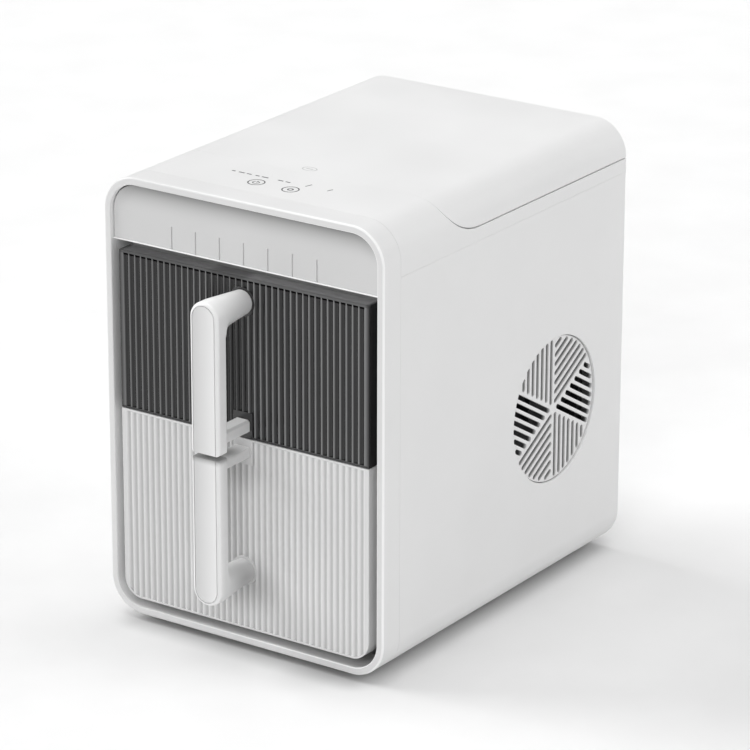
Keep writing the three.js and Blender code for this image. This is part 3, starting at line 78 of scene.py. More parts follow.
# ---- Places, from the CAD ----------------------------------------------------------------------
RING_LOW, RING_HIGH = span("front_frame")
PANEL_LOW, PANEL_HIGH = span("right_side_panel")
LID_LOW, LID_HIGH = span("top_lid")
FASCIA_LOW, FASCIA_HIGH = span("front_fascia")
HALF = RING_HIGH.x
FRONT = RING_LOW.y
BOTTOM = RING_LOW.z
TOP = RING_HIGH.z
REAR = PANEL_HIGH.y
SEAM = span("upper_cover")[0].z - PANEL_HIGH.z
EDGE_R = HALF - PANEL_LOW.x  # the side panels start where the lower edge radius starts
WALL = 2.5  # thickness of the moulded panels
FRAME_FACE = 5.7  # width of the front frame's face
VENT_FLANGE = 2.4  # width of the grille's ring behind the edge of its opening
ARC_STEP = 4.0  # degrees between two points of a visible round

LID_EDGE = LID_LOW.y - SEAM / 2  # middle of the seam in front of the lid
LID_SEAM = TOP - 27.2  # middle of the seam along its sides
LID_RISE = 24.8  # height of the lid's corner, seen from the side
LID_SWEEP = 38.5  # and its length
LID_ROUND = 1.85  # power of its curve; 2 is an ellipse
LID_GAP = 0.9  # width of that seam
LIP_WIDTH = 10.0
LIP_T = 2.4
CLOSED_SEAM = 0.1  # width of the seams that are pressed shut


# ---- Mesh helpers ------------------------------------------------------------------------------
def arc(centre, radius, start, end, step=ARC_STEP):
    """Points of an arc from one angle to another, in degrees."""
    count = max(2, math.ceil(abs(end - start) / step))
    angles = [math.radians(start + (end - start) * i / count) for i in range(count + 1)]
    return [(centre[0] + radius * math.cos(a), centre[1] + radius * math.sin(a)) for a in angles]


def rounded(low, high, radii):
    """Outline of a rectangle; radii go anticlockwise from the low corner, and 0 is a sharp corner."""
    corners = [
        (low[0], low[1], 1, 1, 180),
        (high[0], low[1], -1, 1, 270),
        (high[0], high[1], -1, -1, 0),
        (low[0], high[1], 1, -1, 90),
    ]
    points = []
    for (u, v, du, dv, start), radius in zip(corners, radii):
        if radius:
            points += arc((u + du * radius, v + dv * radius), radius, start, start + 90)
        else:
            points.append((u, v))
    return points


def case_outline(inset=0.0):
    """The case's cross-section, moved inwards by an inset."""
    low = (-HALF + inset, BOTTOM + inset)
    high = (HALF - inset, TOP - inset)
    return rounded(low, high, [EDGE_R - inset] * 4)


AXES = {
    "x": lambda u, v, w: (w, u, v),
    "y": lambda u, v, w: (u, w, v),
    "z": lambda u, v, w: (u, v, w),
}


def mesh_object(name, points, faces):
    """An object from points in millimetres and faces as lists of point numbers."""
    mesh = bpy.data.meshes.new(name)
    mesh.from_pydata([Vector(p) * MM for p in points], [], faces)
    mesh.validate()
    made = bpy.data.objects.new(name, mesh)
    bpy.context.scene.collection.objects.link(made)
    return made


def edit(made, work):
    """Runs a bmesh function on an object's mesh, then turns its faces outwards."""
    bm = bmesh.new()
    bm.from_mesh(made.data)
    work(bm)
    bmesh.ops.recalc_face_normals(bm, faces=bm.faces)
    bm.to_mesh(made.data)
    bm.free()
    return made


def prism(name, outline, ends, axis, holes=()):
    """A closed solid: an outline with holes, carried along an axis between two ends."""
    place = AXES[axis]
    bm = bmesh.new()
    loops = []
    for loop in [outline, *holes]:
        verts = [bm.verts.new(Vector(place(u, v, ends[0])) * MM) for u, v in loop]
        loops.append([bm.edges.new((a, b)) for a, b in zip(verts, verts[1:] + verts[:1])])
    edges = [edge for loop in loops for edge in loop]
    if holes:
        bmesh.ops.triangle_fill(bm, use_beauty=True, use_dissolve=False, edges=edges)
    else:
        bm.faces.new([edge.verts[0] if edge.verts[0] in nxt.verts else edge.verts[1]
                      for edge, nxt in zip(edges, edges[1:] + edges[:1])])
    grown = bmesh.ops.extrude_face_region(bm, geom=list(bm.faces))
    moved = [g for g in grown["geom"] if isinstance(g, bmesh.types.BMVert)]
    bmesh.ops.translate(bm, verts=moved, vec=Vector(place(0, 0, ends[1] - ends[0])) * MM)
    bmesh.ops.recalc_face_normals(bm, faces=bm.faces)
    mesh = bpy.data.meshes.new(name)
    bm.to_mesh(mesh)
    bm.free()
    made = bpy.data.objects.new(name, mesh)
    bpy.context.scene.collection.objects.link(made)
    return made


def box(name, low, high):
    """A closed box between two corners."""
    return prism(name, rounded(low[:2], high[:2], [0] * 4), (low[2], high[2]), "z")


def lathe(name, profile, centre, axis, steps=64, turn=360.0):
    """A surface of revolution about an axis through centre, from (radius, along) points."""
    place = AXES[axis]
    points, faces = [], []
    for i in range(steps):
        a = math.radians(turn) * i / steps
        for radius, along in profile:
            offset = Vector(place(radius * math.cos(a), radius * math.sin(a), along))
            points.append(Vector(centre) + offset)
    rows = len(profile)
    for i in range(steps):
        a, b = i * rows, ((i + 1) % steps) * rows
        for j in range(rows - 1):
            faces.append((a + j, b + j, b + j + 1, a + j + 1))
    made = mesh_object(name, points, faces)
    return edit(made, lambda bm: bmesh.ops.remove_doubles(bm, verts=bm.verts, dist=1e-6))


def join(made, *others):
    """Adds the meshes of other objects to an object, as separate shells."""
    bm = bmesh.new()
    for source in (made, *others):
        bm.from_mesh(source.data)
    bm.to_mesh(made.data)
    bm.free()
    for other in others:
        bpy.data.objects.remove(other)
    return made


def boolean(made, tool, operation="DIFFERENCE"):
    """Cuts, joins or intersects an object with another, which is used up."""
    step = made.modifiers.new("boolean", "BOOLEAN")
    step.operation = operation
    step.solver = "EXACT"
    step.object = tool
    bake(made)
    bpy.data.objects.remove(tool)
    return made


def bake(made):
    """Applies an object's modifiers to its mesh."""
    graph = bpy.context.evaluated_depsgraph_get()
    graph.update()
    mesh = bpy.data.meshes.new_from_object(made.evaluated_get(graph))
    made.modifiers.clear()
    made.data = mesh
    return made


def soften(made, width=0.4, segments=3, angle=35.0, share=None, merge=True):
    """Rounds every sharp edge and gives the mesh smooth shading.

    Share scales the width by place, and merge first joins faces that lie in one plane.
    """
    sharp = math.radians(angle)

    def clean(bm):
        if merge:
            bmesh.ops.dissolve_limit(bm, angle_limit=math.radians(0.5), verts=bm.verts, edges=bm.edges)
        weight = bm.edges.layers.float.new("bevel_weight_edge")
        for edge in bm.edges:
            if len(edge.link_faces) == 2 and edge.calc_face_angle(0) > sharp:
                middle = (edge.verts[0].co + edge.verts[1].co) / (2 * MM)
                edge[weight] = share(middle) if share else 1.0

    edit(made, clean)
    if width:
        bevel = made.modifiers.new("bevel", "BEVEL")
        bevel.width = width * MM
        bevel.segments = segments
        bevel.limit_method = "WEIGHT"
        bevel.miter_outer = "MITER_ARC"
        bake(made)
    return smooth(made, angle)


def smooth(made, angle=35.0):
    """Smooth shading that breaks at edges sharper than an angle, with flat faces kept flat."""
    limit = math.radians(angle)

    def mark(bm):
        for face in bm.faces:
            face.smooth = True
        for edge in bm.edges:
            edge.smooth = len(edge.link_faces) == 2 and edge.calc_face_angle(0) < limit

    edit(made, mark)
    weighted = made.modifiers.new("weighted", "WEIGHTED_NORMAL")
    weighted.keep_sharp = True
    weighted.weight = 80
    return bake(made)


def place_piece(made, body, slot, material, *nodes):
    """Gives a finished piece its material, the CAD nodes that it stands for and the body it rides on."""
    made.data.materials.clear()
    made.data.materials.append(material)
    if nodes:
        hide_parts(*nodes)
    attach(made, body)
    return made


PIERCED = ("rear_cover", "bulkhead")  # plates with many holes, whose flat faces stay in small ones


def refined(node, body, slot, material, width=0.4, segments=2, angle=30.0):
    """A copy of a CAD node with rounded edges and smooth shading, in its place."""
    made = bpy.data.objects.new("fine_" + node, frame["nodes"][node].data.copy())
    bpy.context.scene.collection.objects.link(made)
    edit(made, lambda bm: bmesh.ops.remove_doubles(bm, verts=bm.verts, dist=1e-6))
    soften(made, width, segments, angle, merge=node not in PIERCED)
    return place_piece(made, body, slot, material, node)


# ---- Materials ---------------------------------------------------------------------------------
def new_material(name):
    made = bpy.data.materials.new(name)
    made.use_nodes = True
    nodes = made.node_tree.nodes
    shader = nodes["Principled BSDF"]
    return made, nodes, made.node_tree.links, shader


def texture(nodes, links, kind, scale, stretch=(1, 1, 1), **values):
    """A procedural texture in object space, with its own scale and stretch."""
    place = nodes.new("ShaderNodeTexCoord")
    mapping = nodes.new("ShaderNodeMapping")
    mapping.inputs["Scale"].default_value = stretch
    pattern = nodes.new(kind)
    pattern.inputs["Scale"].default_value = scale
    for key, value in values.items():
        pattern.inputs[key.replace("_", " ")].default_value = value
    links.new(place.outputs["Object"], mapping.inputs["Vector"])
    links.new(mapping.outputs["Vector"], pattern.inputs["Vector"])
    return pattern


def ramp(nodes, links, source, low, high, start=0.3, end=0.7):
    """Maps a texture onto a range between two colours or two greys."""
    made = nodes.new("ShaderNodeValToRGB")
    made.color_ramp.elements[0].position = start
    made.color_ramp.elements[1].position = end
    made.color_ramp.elements[0].color = low
    made.color_ramp.elements[1].color = high
    links.new(source, made.inputs["Fac"])
    return made.outputs["Color"]


def grey(value, alpha=1.0):
    return (value, value, value, alpha)


def tint(colour, factor):
    return tuple(min(1.0, c * factor) for c in colour[:3]) + (1.0,)


def moulded(name, colour, roughness, grain=0.010, grain_scale=1700.0, spread=0.05, **sockets):
    """Moulded plastic or rubber: a fine spark-eroded grain, cloudy gloss and a trace of colour variation."""
    made, nodes, links, shader = new_material(name)
    cloud = texture(nodes, links, "ShaderNodeTexNoise", 14.0, Detail=3.0)
    fine = texture(nodes, links, "ShaderNodeTexNoise", grain_scale, Detail=2.0)
    links.new(ramp(nodes, links, cloud.outputs["Fac"], tint(colour, 0.985), tint(colour, 1.015)),
              shader.inputs["Base Color"])
    gloss = ramp(nodes, links, cloud.outputs["Fac"], grey(roughness - spread), grey(roughness + spread))
    links.new(gloss, shader.inputs["Roughness"])
    bump = nodes.new("ShaderNodeBump")
    bump.inputs["Strength"].default_value = 0.35
    bump.inputs["Distance"].default_value = grain * MM
    links.new(fine.outputs["Fac"], bump.inputs["Height"])
    links.new(bump.outputs["Normal"], shader.inputs["Normal"])
    for key, value in sockets.items():
        shader.inputs[key.replace("_", " ")].default_value = value
    return made


def metal(name, colour, roughness, stretch=(1, 1, 1), scale=900.0, depth=0.012):
    """Bare metal with a drawn or rolled grain along the axis that it isn't stretched on."""
    made, nodes, links, shader = new_material(name)
    shader.inputs["Metallic"].default_value = 1.0
    stain = texture(nodes, links, "ShaderNodeTexNoise", 30.0, Detail=4.0)
    lines = texture(nodes, links, "ShaderNodeTexNoise", scale, stretch, Detail=3.0)
    links.new(ramp(nodes, links, stain.outputs["Fac"], tint(colour, 0.9), tint(colour, 1.06)),
              shader.inputs["Base Color"])
    links.new(ramp(nodes, links, lines.outputs["Fac"], grey(roughness - 0.08), grey(roughness + 0.1)),
              shader.inputs["Roughness"])
    bump = nodes.new("ShaderNodeBump")
    bump.inputs["Strength"].default_value = 0.3
    bump.inputs["Distance"].default_value = depth * MM
    links.new(lines.outputs["Fac"], bump.inputs["Height"])
    links.new(bump.outputs["Normal"], shader.inputs["Normal"])
    return made


def clear(name, colour, roughness):
    """Clear moulded plastic with faint flow marks and a soft gloss."""
    made, nodes, links, shader = new_material(name)
    flow = texture(nodes, links, "ShaderNodeTexNoise", 60.0, (1, 0.3, 1), Detail=2.0)
    links.new(ramp(nodes, links, flow.outputs["Fac"], tint(colour, 0.97), tint(colour, 1.0)),
              shader.inputs["Base Color"])
    links.new(ramp(nodes, links, flow.outputs["Fac"], grey(roughness), grey(roughness + 0.05)),
              shader.inputs["Roughness"])
    shader.inputs["Transmission Weight"].default_value = 0.9
    shader.inputs["IOR"].default_value = 1.49
    bump = nodes.new("ShaderNodeBump")
    bump.inputs["Strength"].default_value = 0.2
    bump.inputs["Distance"].default_value = 0.02 * MM
    links.new(flow.outputs["Fac"], bump.inputs["Height"])
    links.new(bump.outputs["Normal"], shader.inputs["Normal"])
    return made


def shaded(made, light, dark=None, gloss=0.5):
    """Paints light into a material where the points' shade value is above 0; below 0, paints shade that darkens it
    and dulls its gloss.
    """
    nodes, links = made.node_tree.nodes, made.node_tree.links
    shader = nodes["Principled BSDF"]
    target = shader.inputs["Base Color"]
    source = target.links[0].from_socket
    shade = nodes.new("ShaderNodeAttribute")
    shade.attribute_name = "shade"
    for sign, colour in ((1.0, light), (-1.0, dark)):
        if not colour:
            continue
        factor = nodes.new("ShaderNodeMath")
        factor.operation = "MULTIPLY"
        factor.use_clamp = True
        factor.inputs[1].default_value = sign
        links.new(shade.outputs["Fac"], factor.inputs[0])
        mix = nodes.new("ShaderNodeMixRGB")
        mix.inputs["Color2"].default_value = colour
        links.new(factor.outputs["Value"], mix.inputs["Fac"])
        links.new(source, mix.inputs["Color1"])
        source = mix.outputs["Color"]
    if dark:
        dull = nodes.new("ShaderNodeMath")
        dull.operation = "MULTIPLY_ADD"
        dull.inputs[1].default_value = -gloss
        dull.inputs[2].default_value = gloss
        links.new(factor.outputs["Value"], dull.inputs[0])
        links.new(dull.outputs["Value"], shader.inputs["Specular IOR Level"])
    links.new(source, target)
    return made


def darkened(made, amount, factor):
    """Paints shade into a material: multiplies its colour by a factor where the amount is 1."""
    nodes, links = made.node_tree.nodes, made.node_tree.links
    target = nodes["Principled BSDF"].inputs["Base Color"]
    mix = nodes.new("ShaderNodeMixRGB")
    mix.blend_type = "MULTIPLY"
    mix.inputs["Color2"].default_value = grey(factor)
    links.new(amount, mix.inputs["Fac"])
    links.new(target.links[0].from_socket, mix.inputs["Color1"])
    links.new(mix.outputs["Color"], target)
    return made


def faded(made, axis, start, end, factor, power=1.0):
    """Paints shade into a material: darkens it from one place along an axis of the object to another."""
    nodes, links = made.node_tree.nodes, made.node_tree.links
    place = nodes.new("ShaderNodeTexCoord")
    split = nodes.new("ShaderNodeSeparateXYZ")
    reach = nodes.new("ShaderNodeMapRange")
    reach.inputs["From Min"].default_value = start * MM
    reach.inputs["From Max"].default_value = end * MM
    curve = nodes.new("ShaderNodeMath")
    curve.operation = "POWER"
    curve.inputs[1].default_value = power
    links.new(place.outputs["Object"], split.inputs["Vector"])
    links.new(split.outputs[axis], reach.inputs["Value"])
    links.new(reach.outputs["Result"], curve.inputs[0])
    return darkened(made, curve.outputs["Value"], factor)


def spotted(made, centre, reach, factor, core=(0, 0, 0)):
    """Paints a soft shadow into a material: darkens it in a box of half sizes core around a centre, fading out over
    a reach.
    """
    nodes, links = made.node_tree.nodes, made.node_tree.links
    source = nodes.new("ShaderNodeTexCoord").outputs["Object"]
    steps = (("SUBTRACT", Vector(centre) * MM), ("ABSOLUTE", None), ("SUBTRACT", Vector(core) * MM),
             ("MAXIMUM", (0, 0, 0)), ("DIVIDE", Vector(reach) * MM), ("LENGTH", None))
    for operation, value in steps:
        step = nodes.new("ShaderNodeVectorMath")
        step.operation = operation
        links.new(source, step.inputs[0])
        if value is not None:
            step.inputs[1].default_value = value
        source = step.outputs["Value" if operation == "LENGTH" else "Vector"]
    amount = nodes.new("ShaderNodeMapRange")
    amount.interpolation_type = "SMOOTHSTEP"
    amount.inputs["From Min"].default_value = 1.0
    amount.inputs["From Max"].default_value = 0.0
    links.new(source, amount.inputs["Value"])
    return darkened(made, amount.outputs["Result"], factor)


def solder_board(name):
    """Green circuit board with tinned pads and tracks."""
    made, nodes, links, shader = new_material(name)
    tracks = texture(nodes, links, "ShaderNodeTexVoronoi", 260.0, Randomness=0.45)
    links.new(ramp(nodes, links, tracks.outputs["Distance"], (0.75, 0.74, 0.70, 1), (0.02, 0.12, 0.06, 1),
                   0.16, 0.2), shader.inputs["Base Color"])
    links.new(ramp(nodes, links, tracks.outputs["Distance"], grey(0.25), grey(0.45), 0.16, 0.2),
              shader.inputs["Roughness"])
    bump = nodes.new("ShaderNodeBump")
    bump.inputs["Strength"].default_value = 0.4
    bump.inputs["Distance"].default_value = 0.05 * MM
    bump.invert = True
    links.new(tracks.outputs["Distance"], bump.inputs["Height"])
    links.new(bump.outputs["Normal"], shader.inputs["Normal"])
    return made


WHITE_CASE = moulded("case_white", (0.74, 0.74, 0.74, 1), 0.42)
# frame white, with painted highlights along its front edges and painted light on its left inner wall
WHITE_FRAME_PAINTED_LIGHT = shaded(moulded("frame_white_painted_light", (0.735, 0.735, 0.735, 1), 0.34), grey(0.98))
# fascia bead in a white lighter than the case's: a painted highlight along the fascia's lower edge
BEAD_PAINTED_HIGHLIGHT = moulded("bead_painted_highlight", (0.93, 0.93, 0.93, 1), 0.34)
WHITE_FRONT_PAINTED_SHADOW = moulded("front_white", (0.67, 0.67, 0.67, 1), 0.38)
# white front: painted light on the crests and painted shade in the hollows
WHITE_FLUTES_PAINTED_LIGHT = shaded(moulded("front_white_flutes_painted_light", (0.745, 0.745, 0.745, 1), 0.38), grey(0.845), grey(0.52))
# painted shade over the white front, from 62 mm right of the middle leftwards
WHITE_FLUTES_PAINTED_LIGHT = faded(WHITE_FLUTES_PAINTED_LIGHT, "X", 62.0, 22.0, 0.90)
WHITE_HANDLE = moulded("handle_white", (0.83, 0.83, 0.83, 1), 0.33)
# upper cap, darkened from right to left across its face as painted shade
WHITE_CAP_PAINTED_SHADE = faded(moulded("cap_white", (0.83, 0.83, 0.83, 1), 0.33), "X", 9.0, -9.0, 0.735)
GRIP_FRONT, GRIP_TOP = span("tank_handle")[0].y, span("tank_handle")[1].z
# lower handle: painted shade on its sides and arm behind the grip's front
LOWER_HANDLE_PAINTED_SHADE = faded(moulded("lower_handle_painted_shade", (0.83, 0.83, 0.83, 1), 0.33), "Y",
                     GRIP_FRONT + 1.0, GRIP_FRONT + 7.0, 0.85)
# painted shadow of the upper handle on the lower grip's top end
LOWER_HANDLE_PAINTED_SHADE = faded(LOWER_HANDLE_PAINTED_SHADE, "Z", GRIP_TOP - 4.5, GRIP_TOP, 0.45, 1.5)
ARM_Y, ARM_Z = span("tank_handle")[1].y, span("tank_handle")[0].z + span("tank_handle")[1].x
# painted shadow on the stub under the upper handle, and painted shade around the root of the arm
spotted(LOWER_HANDLE_PAINTED_SHADE, (0, GRIP_FRONT + 28, GRIP_TOP - 2), (14, 18, 6), 0.2)
spotted(LOWER_HANDLE_PAINTED_SHADE, (10, ARM_Y - 12, ARM_Z), (20, 26, 20), 0.64)
# painted shadows on the white front and its pads: below the lower handle's stub and around its arm
for paint in (WHITE_FLUTES_PAINTED_LIGHT, WHITE_FRONT_PAINTED_SHADOW):
    spotted(paint, (-5, ARM_Y, GRIP_TOP - 22), (28, 20, 26), 0.70)
    spotted(paint, (5, ARM_Y, ARM_Z - 10), (34, 20, 28), 0.68)
# lower cap: painted shade across its face, and the painted shadow of the upper handle on its top end
LOWER_CAP_PAINTED_SHADE = faded(moulded("lower_cap_painted_shade", (0.83, 0.83, 0.83, 1), 0.33), "X", 9.0, -9.0, 0.735)
LOWER_CAP_PAINTED_SHADE = faded(LOWER_CAP_PAINTED_SHADE, "Z", GRIP_TOP - 4.5, GRIP_TOP, 0.45, 1.5)
# fascia: painted shadow under the frame's top edge
GREY_FASCIA_PAINTED_SHADE = faded(moulded("fascia_grey_painted_shade", (0.65, 0.65, 0.65, 1), 0.40), "Z",
                    FASCIA_HIGH.z - 20.0, FASCIA_HIGH.z, 0.37, 2.3)
# painted shade in the fascia's upper right corner
GREY_FASCIA_PAINTED_SHADE = spotted(GREY_FASCIA_PAINTED_SHADE, FASCIA_HIGH, (25, 40, 25), 0.7)
SMOKE = moulded("smoked_grey", (0.022, 0.022, 0.023, 1), 0.22, grain=0.004, spread=0.03,
                Coat_Weight=0.25, Coat_Roughness=0.15)
# smoked front: painted light on its crests, lip, margins, sides and top face, and painted shade, black and dull, in
# the pockets under the lip
SMOKE_FLUTES_PAINTED_LIGHT = shaded(moulded("smoked_flutes_painted_light", (0.011, 0.011, 0.0115, 1), 0.24, grain=0.004, spread=0.03,
                             Coat_Weight=0.08, Coat_Roughness=0.15),
                     (0.55, 0.55, 0.555, 1), (0.002, 0.002, 0.002, 1), 0.42)
# painted shade over the smoked front's left part
SMOKE_FLUTES_PAINTED_LIGHT = faded(SMOKE_FLUTES_PAINTED_LIGHT, "X", 0.0, -60.0, 0.72)
# painted shadow of the upper handle on the smoked front
SMOKE_FLUTES_PAINTED_LIGHT = spotted(SMOKE_FLUTES_PAINTED_LIGHT, (-12, ARM_Y, 215), (11, 40, 40), 0.3, core=(10, 10, 48))
# grille: painted shade on its slot walls, darker deeper into the plate
WHITE_GRILLE_PAINTED_SHADE = faded(moulded("grille_white_painted_shade", (0.74, 0.74, 0.74, 1), 0.42), "X",
                     span("vent_grille")[1].x - 0.5, span("vent_grille")[1].x - 2.6, 0.2)
LINER = moulded("liner_white", (0.74, 0.75, 0.76, 1), 0.35)
GREY_LINER = moulded("liner_grey", (0.42, 0.42, 0.42, 1), 0.45)
CLEAR = clear("box_clear", (0.93, 0.95, 0.96, 1), 0.06)
BLACK = moulded("black_plastic", (0.022, 0.022, 0.024, 1), 0.45, grain=0.02)
RUBBER = moulded("soft_rubber", (0.055, 0.055, 0.058, 1), 0.75, grain=0.03, grain_scale=900.0)
ENAMEL = moulded("black_enamel", (0.015, 0.015, 0.016, 1), 0.28, grain=0.02, grain_scale=500.0)
STEEL = metal("plated_steel", (0.62, 0.62, 0.63, 1), 0.34, (1, 8, 1))
ALUMINIUM = metal("aluminium", (0.80, 0.81, 0.82, 1), 0.30, (1, 6, 1))
COPPER = metal("copper", (0.78, 0.40, 0.25, 1), 0.26, (3, 3, 1))
BOARD = solder_board("circuit_board")
PRINT = moulded("printed_grey", (0.06, 0.06, 0.065, 1), 0.5)
FAINT_PRINT = moulded("faint_grey", (0.50, 0.50, 0.50, 1), 0.5)

FINISH = {
    "white_shell": WHITE_CASE,
    "white_panel": WHITE_CASE,
    "grey_fascia": GREY_FASCIA_PAINTED_SHADE,
    "smoked_front": SMOKE,
    "clear_box": CLEAR,
    "inner_liner": LINER,
    "black_plastic": BLACK,
    "soft_rubber": RUBBER,
    "plated_steel": STEEL,
    "black_enamel": ENAMEL,
    "aluminium_parts": ALUMINIUM,
    "copper_lines": COPPER,
    "circuit_boards": BOARD,
}
SLOT_OF = {node: made.data.materials[0].name for node, made in frame["nodes"].items()}
BODY_OF = {node: made["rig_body"] for node, made in frame["nodes"].items()}

for node, made in frame["nodes"].items():
    made.data.materials.clear()
    made.data.materials.append(FINISH[SLOT_OF[node]])


def put(made, node, material=None, *more):
    """A piece that stands for a CAD node, on its body, in its slot's finish unless another is given."""
    finish = material or FINISH[SLOT_OF[node]]
    return place_piece(made, BODY_OF[node], SLOT_OF[node], finish, node, *more)


# ---- Front frame -------------------------------------------------------------------------------
EDGE_OUT, EDGE_IN = 1.6, 0.8  # rounds of the front frame's outer and inner edges


def edge_inset(p):
    """Distance of a point inwards from the case's outline."""
    across = abs(p.x) - HALF + EDGE_R
    up = abs(p.z - (TOP + BOTTOM) / 2) - (TOP - BOTTOM) / 2 + EDGE_R
    return EDGE_R - (math.hypot(across, up) if min(across, up) > 0 else max(across, up))


def frame_shade(p):
    """Share of painted light on the frame: a painted highlight along its front edges, and painted light on its left
    inner wall.
    """
    depth, rightward, slack = p.y - FRONT, p.x / HALF, 0.02
    if edge_inset(p) < FRAME_FACE / 2:
        return 0.8 * max(0.0, rightward) if slack < depth < EDGE_OUT - slack else 0.0
    if depth < EDGE_IN - slack:
        return 0.4 + 0.6 * rightward if depth > slack else 0.0
    return max(0.0, -p.x / (HALF - FRAME_FACE)) ** 4


def build_frame():
    depth = PANEL_LOW.y - CLOSED_SEAM
    ring = prism("frame_ring", case_outline(), (FRONT, depth), "y", [case_outline(FRAME_FACE)])
    spigot = prism("frame_spigot", case_outline(WALL + 0.3), (depth - 1, RING_HIGH.y), "y",
                   [case_outline(FRAME_FACE + 0.02)])

    def share(p):
        if p.y > depth - 1:
            return 0.12 / EDGE_OUT
        return 1.0 if edge_inset(p) < FRAME_FACE / 2 else EDGE_IN / EDGE_OUT

    soften(ring, EDGE_OUT, 4, share=share)
    soften(spigot, 0.3, 2)
    ring = join(ring, spigot)
    # painted highlight along the frame's front edges and painted light on its left inner wall, which its material
    # reads
    shade = ring.data.attributes.new("shade", "FLOAT", "POINT")
    shade.data.foreach_set("value", [frame_shade(v.co / MM) for v in ring.data.vertices])
    put(ring, "front_frame", WHITE_FRAME_PAINTED_LIGHT)


def build_fascia():
    """Recessed panel above the drawers, with engraved ticks and a return along its lower edge."""
    count, pitch, width, height, deep = 7, 20.8, 1.1, 17.5, 0.9
    low, high = FASCIA_LOW, FASCIA_HIGH
    gap = 0.5
    corner = EDGE_R - FRAME_FACE - 0.3 - gap
    outline = rounded((low.x + gap, low.z), (high.x - gap, high.z - gap), [0, 0, corner, corner])
    plate = prism("fascia", outline, (low.y, low.y + WALL), "y")
    for i in range(count):
        x = (i - (count - 1) / 2) * pitch
        tick = rounded((x - width / 2, low.z - 1), (x + width / 2, low.z + height),
                       [0, 0, width * 0.45, width * 0.45])
        boolean(plate, prism("tick", tick, (low.y - 1, low.y + deep), "y"))
    ticks_half = count / 2 * pitch
    soften(plate, 0.3, 3, share=lambda p: 0.4 if abs(p.x) < ticks_half else 1.0)
    lip = box("fascia_lip", (low.x, low.y + WALL - 0.5, low.z), (high.x, high.y, low.z + WALL))
    soften(lip, 0.3, 2)
    # the bead catches light on its top; its lighter white adds a painted highlight
    bead = box("fascia_bead", (low.x, low.y - 0.8, low.z), (high.x, low.y + 0.5, low.z + 0.9))
    soften(bead, 0.3, 3)
    put(join(plate, lip), "front_fascia")
    place_piece(bead, "housing", "grey_fascia", BEAD_PAINTED_HIGHLIGHT)


# ---- Case --------------------------------------------------------------------------------------
def thicken(made, thickness, inward=True):
    """Turns a surface that faces outwards into a wall."""
    step = made.modifiers.new("wall", "SOLIDIFY")
    step.thickness = thickness * MM
    step.offset = -1.0 if inward else 1.0
    step.use_even_offset = True
    return bake(made)


def build_side(side, node, vent):
    """Side panel with its lower edge radius; the right one has the round vent opening."""
    corner = (HALF - EDGE_R, BOTTOM + EDGE_R)
    outer = arc(corner, EDGE_R, -90, 0) + [(HALF, PANEL_HIGH.z)]
    inner = [(HALF - WALL, PANEL_HIGH.z)] + arc(corner, EDGE_R - WALL, 0, -90)
    outline = [(side * u, v) for u, v in outer + inner]
    panel = prism(node + "_shell", outline, (PANEL_LOW.y, REAR), "y")
    if vent:
        centre, radius = vent
        hole = prism("hole", arc(centre, radius, 0, 360, 3.0)[:-1], (HALF - 2 * WALL, HALF + 1), "x")
        boolean(panel, hole)

    def share(p):
        if p.y < PANEL_LOW.y + 1 or p.z > PANEL_HIGH.z - 1:
            return 0.1
        return 1.0 if p.y > REAR - 1 else 0.5

    soften(panel, 0.9, 3, angle=40, share=share)
    put(panel, node)


def outline_at(z, inset=0.0):
    """Right-hand point of the case's cross-section at a height above its straight sides."""
    radius = EDGE_R - inset
    rise = max(0.0, z - (TOP - EDGE_R))
    return HALF - EDGE_R + math.sqrt(max(0.0, radius ** 2 - rise ** 2))


def lid_front(z, gap):
    """Where the lid's seam runs at a height, moved forwards by a gap."""
    drop = max(0.0, LID_SEAM + LID_RISE - z) / (LID_RISE + gap)
    reach = max(0.0, 1 - drop ** LID_ROUND) ** (1 / LID_ROUND)
    return LID_EDGE + LID_SWEEP - (LID_SWEEP + gap) * reach


def rows_from(start, bend, inset=0.0):
    """Heights of the rows across the upper edge radius, close together where the seam turns."""
    centre = LID_SEAM + LID_RISE
    heights = [start]
    heights += [centre - bend * math.cos(math.radians(a)) for a in range(0, 91, 4)]
    heights += [TOP - EDGE_R + (EDGE_R - inset) * math.sin(math.radians(a)) for a in range(4, 91, 4)]
    kept = []
    for z in sorted(h for h in heights if h >= start - 1e-9):
        if not kept or z - kept[-1] > 0.12:
            kept.append(z)
    kept[-1] = TOP - inset
    return kept


def arch_rows(heights, inset):
    """Points of the cross-section over the top from the right side to the left, from row heights."""
    right = [(outline_at(z, inset), z) for z in heights]
    across = [(HALF - EDGE_R) * k for k in (0.5, 0.0, -0.5)]
    return right + [(x, TOP - inset) for x in across] + [(-x, z) for x, z in reversed(right)]


def seam_gap(z):
    """Half the width of the lid's seam: full along the sides, and closing up over the top."""
    share = min(1.0, max(0.0, (z - LID_SEAM) / LID_RISE))
    return LID_GAP / 2 * (1 - share) + CLOSED_SEAM / 4 * share


def seam_share(p):
    """How much of the full edge radius an edge of the cover or the lid gets."""
    closed = p.y < PANEL_LOW.y + 1 or p.z < PANEL_HIGH.z + 1
    return 0.2 if closed or (p.z > TOP - 5 and p.y < LID_EDGE + 10) else 1.0


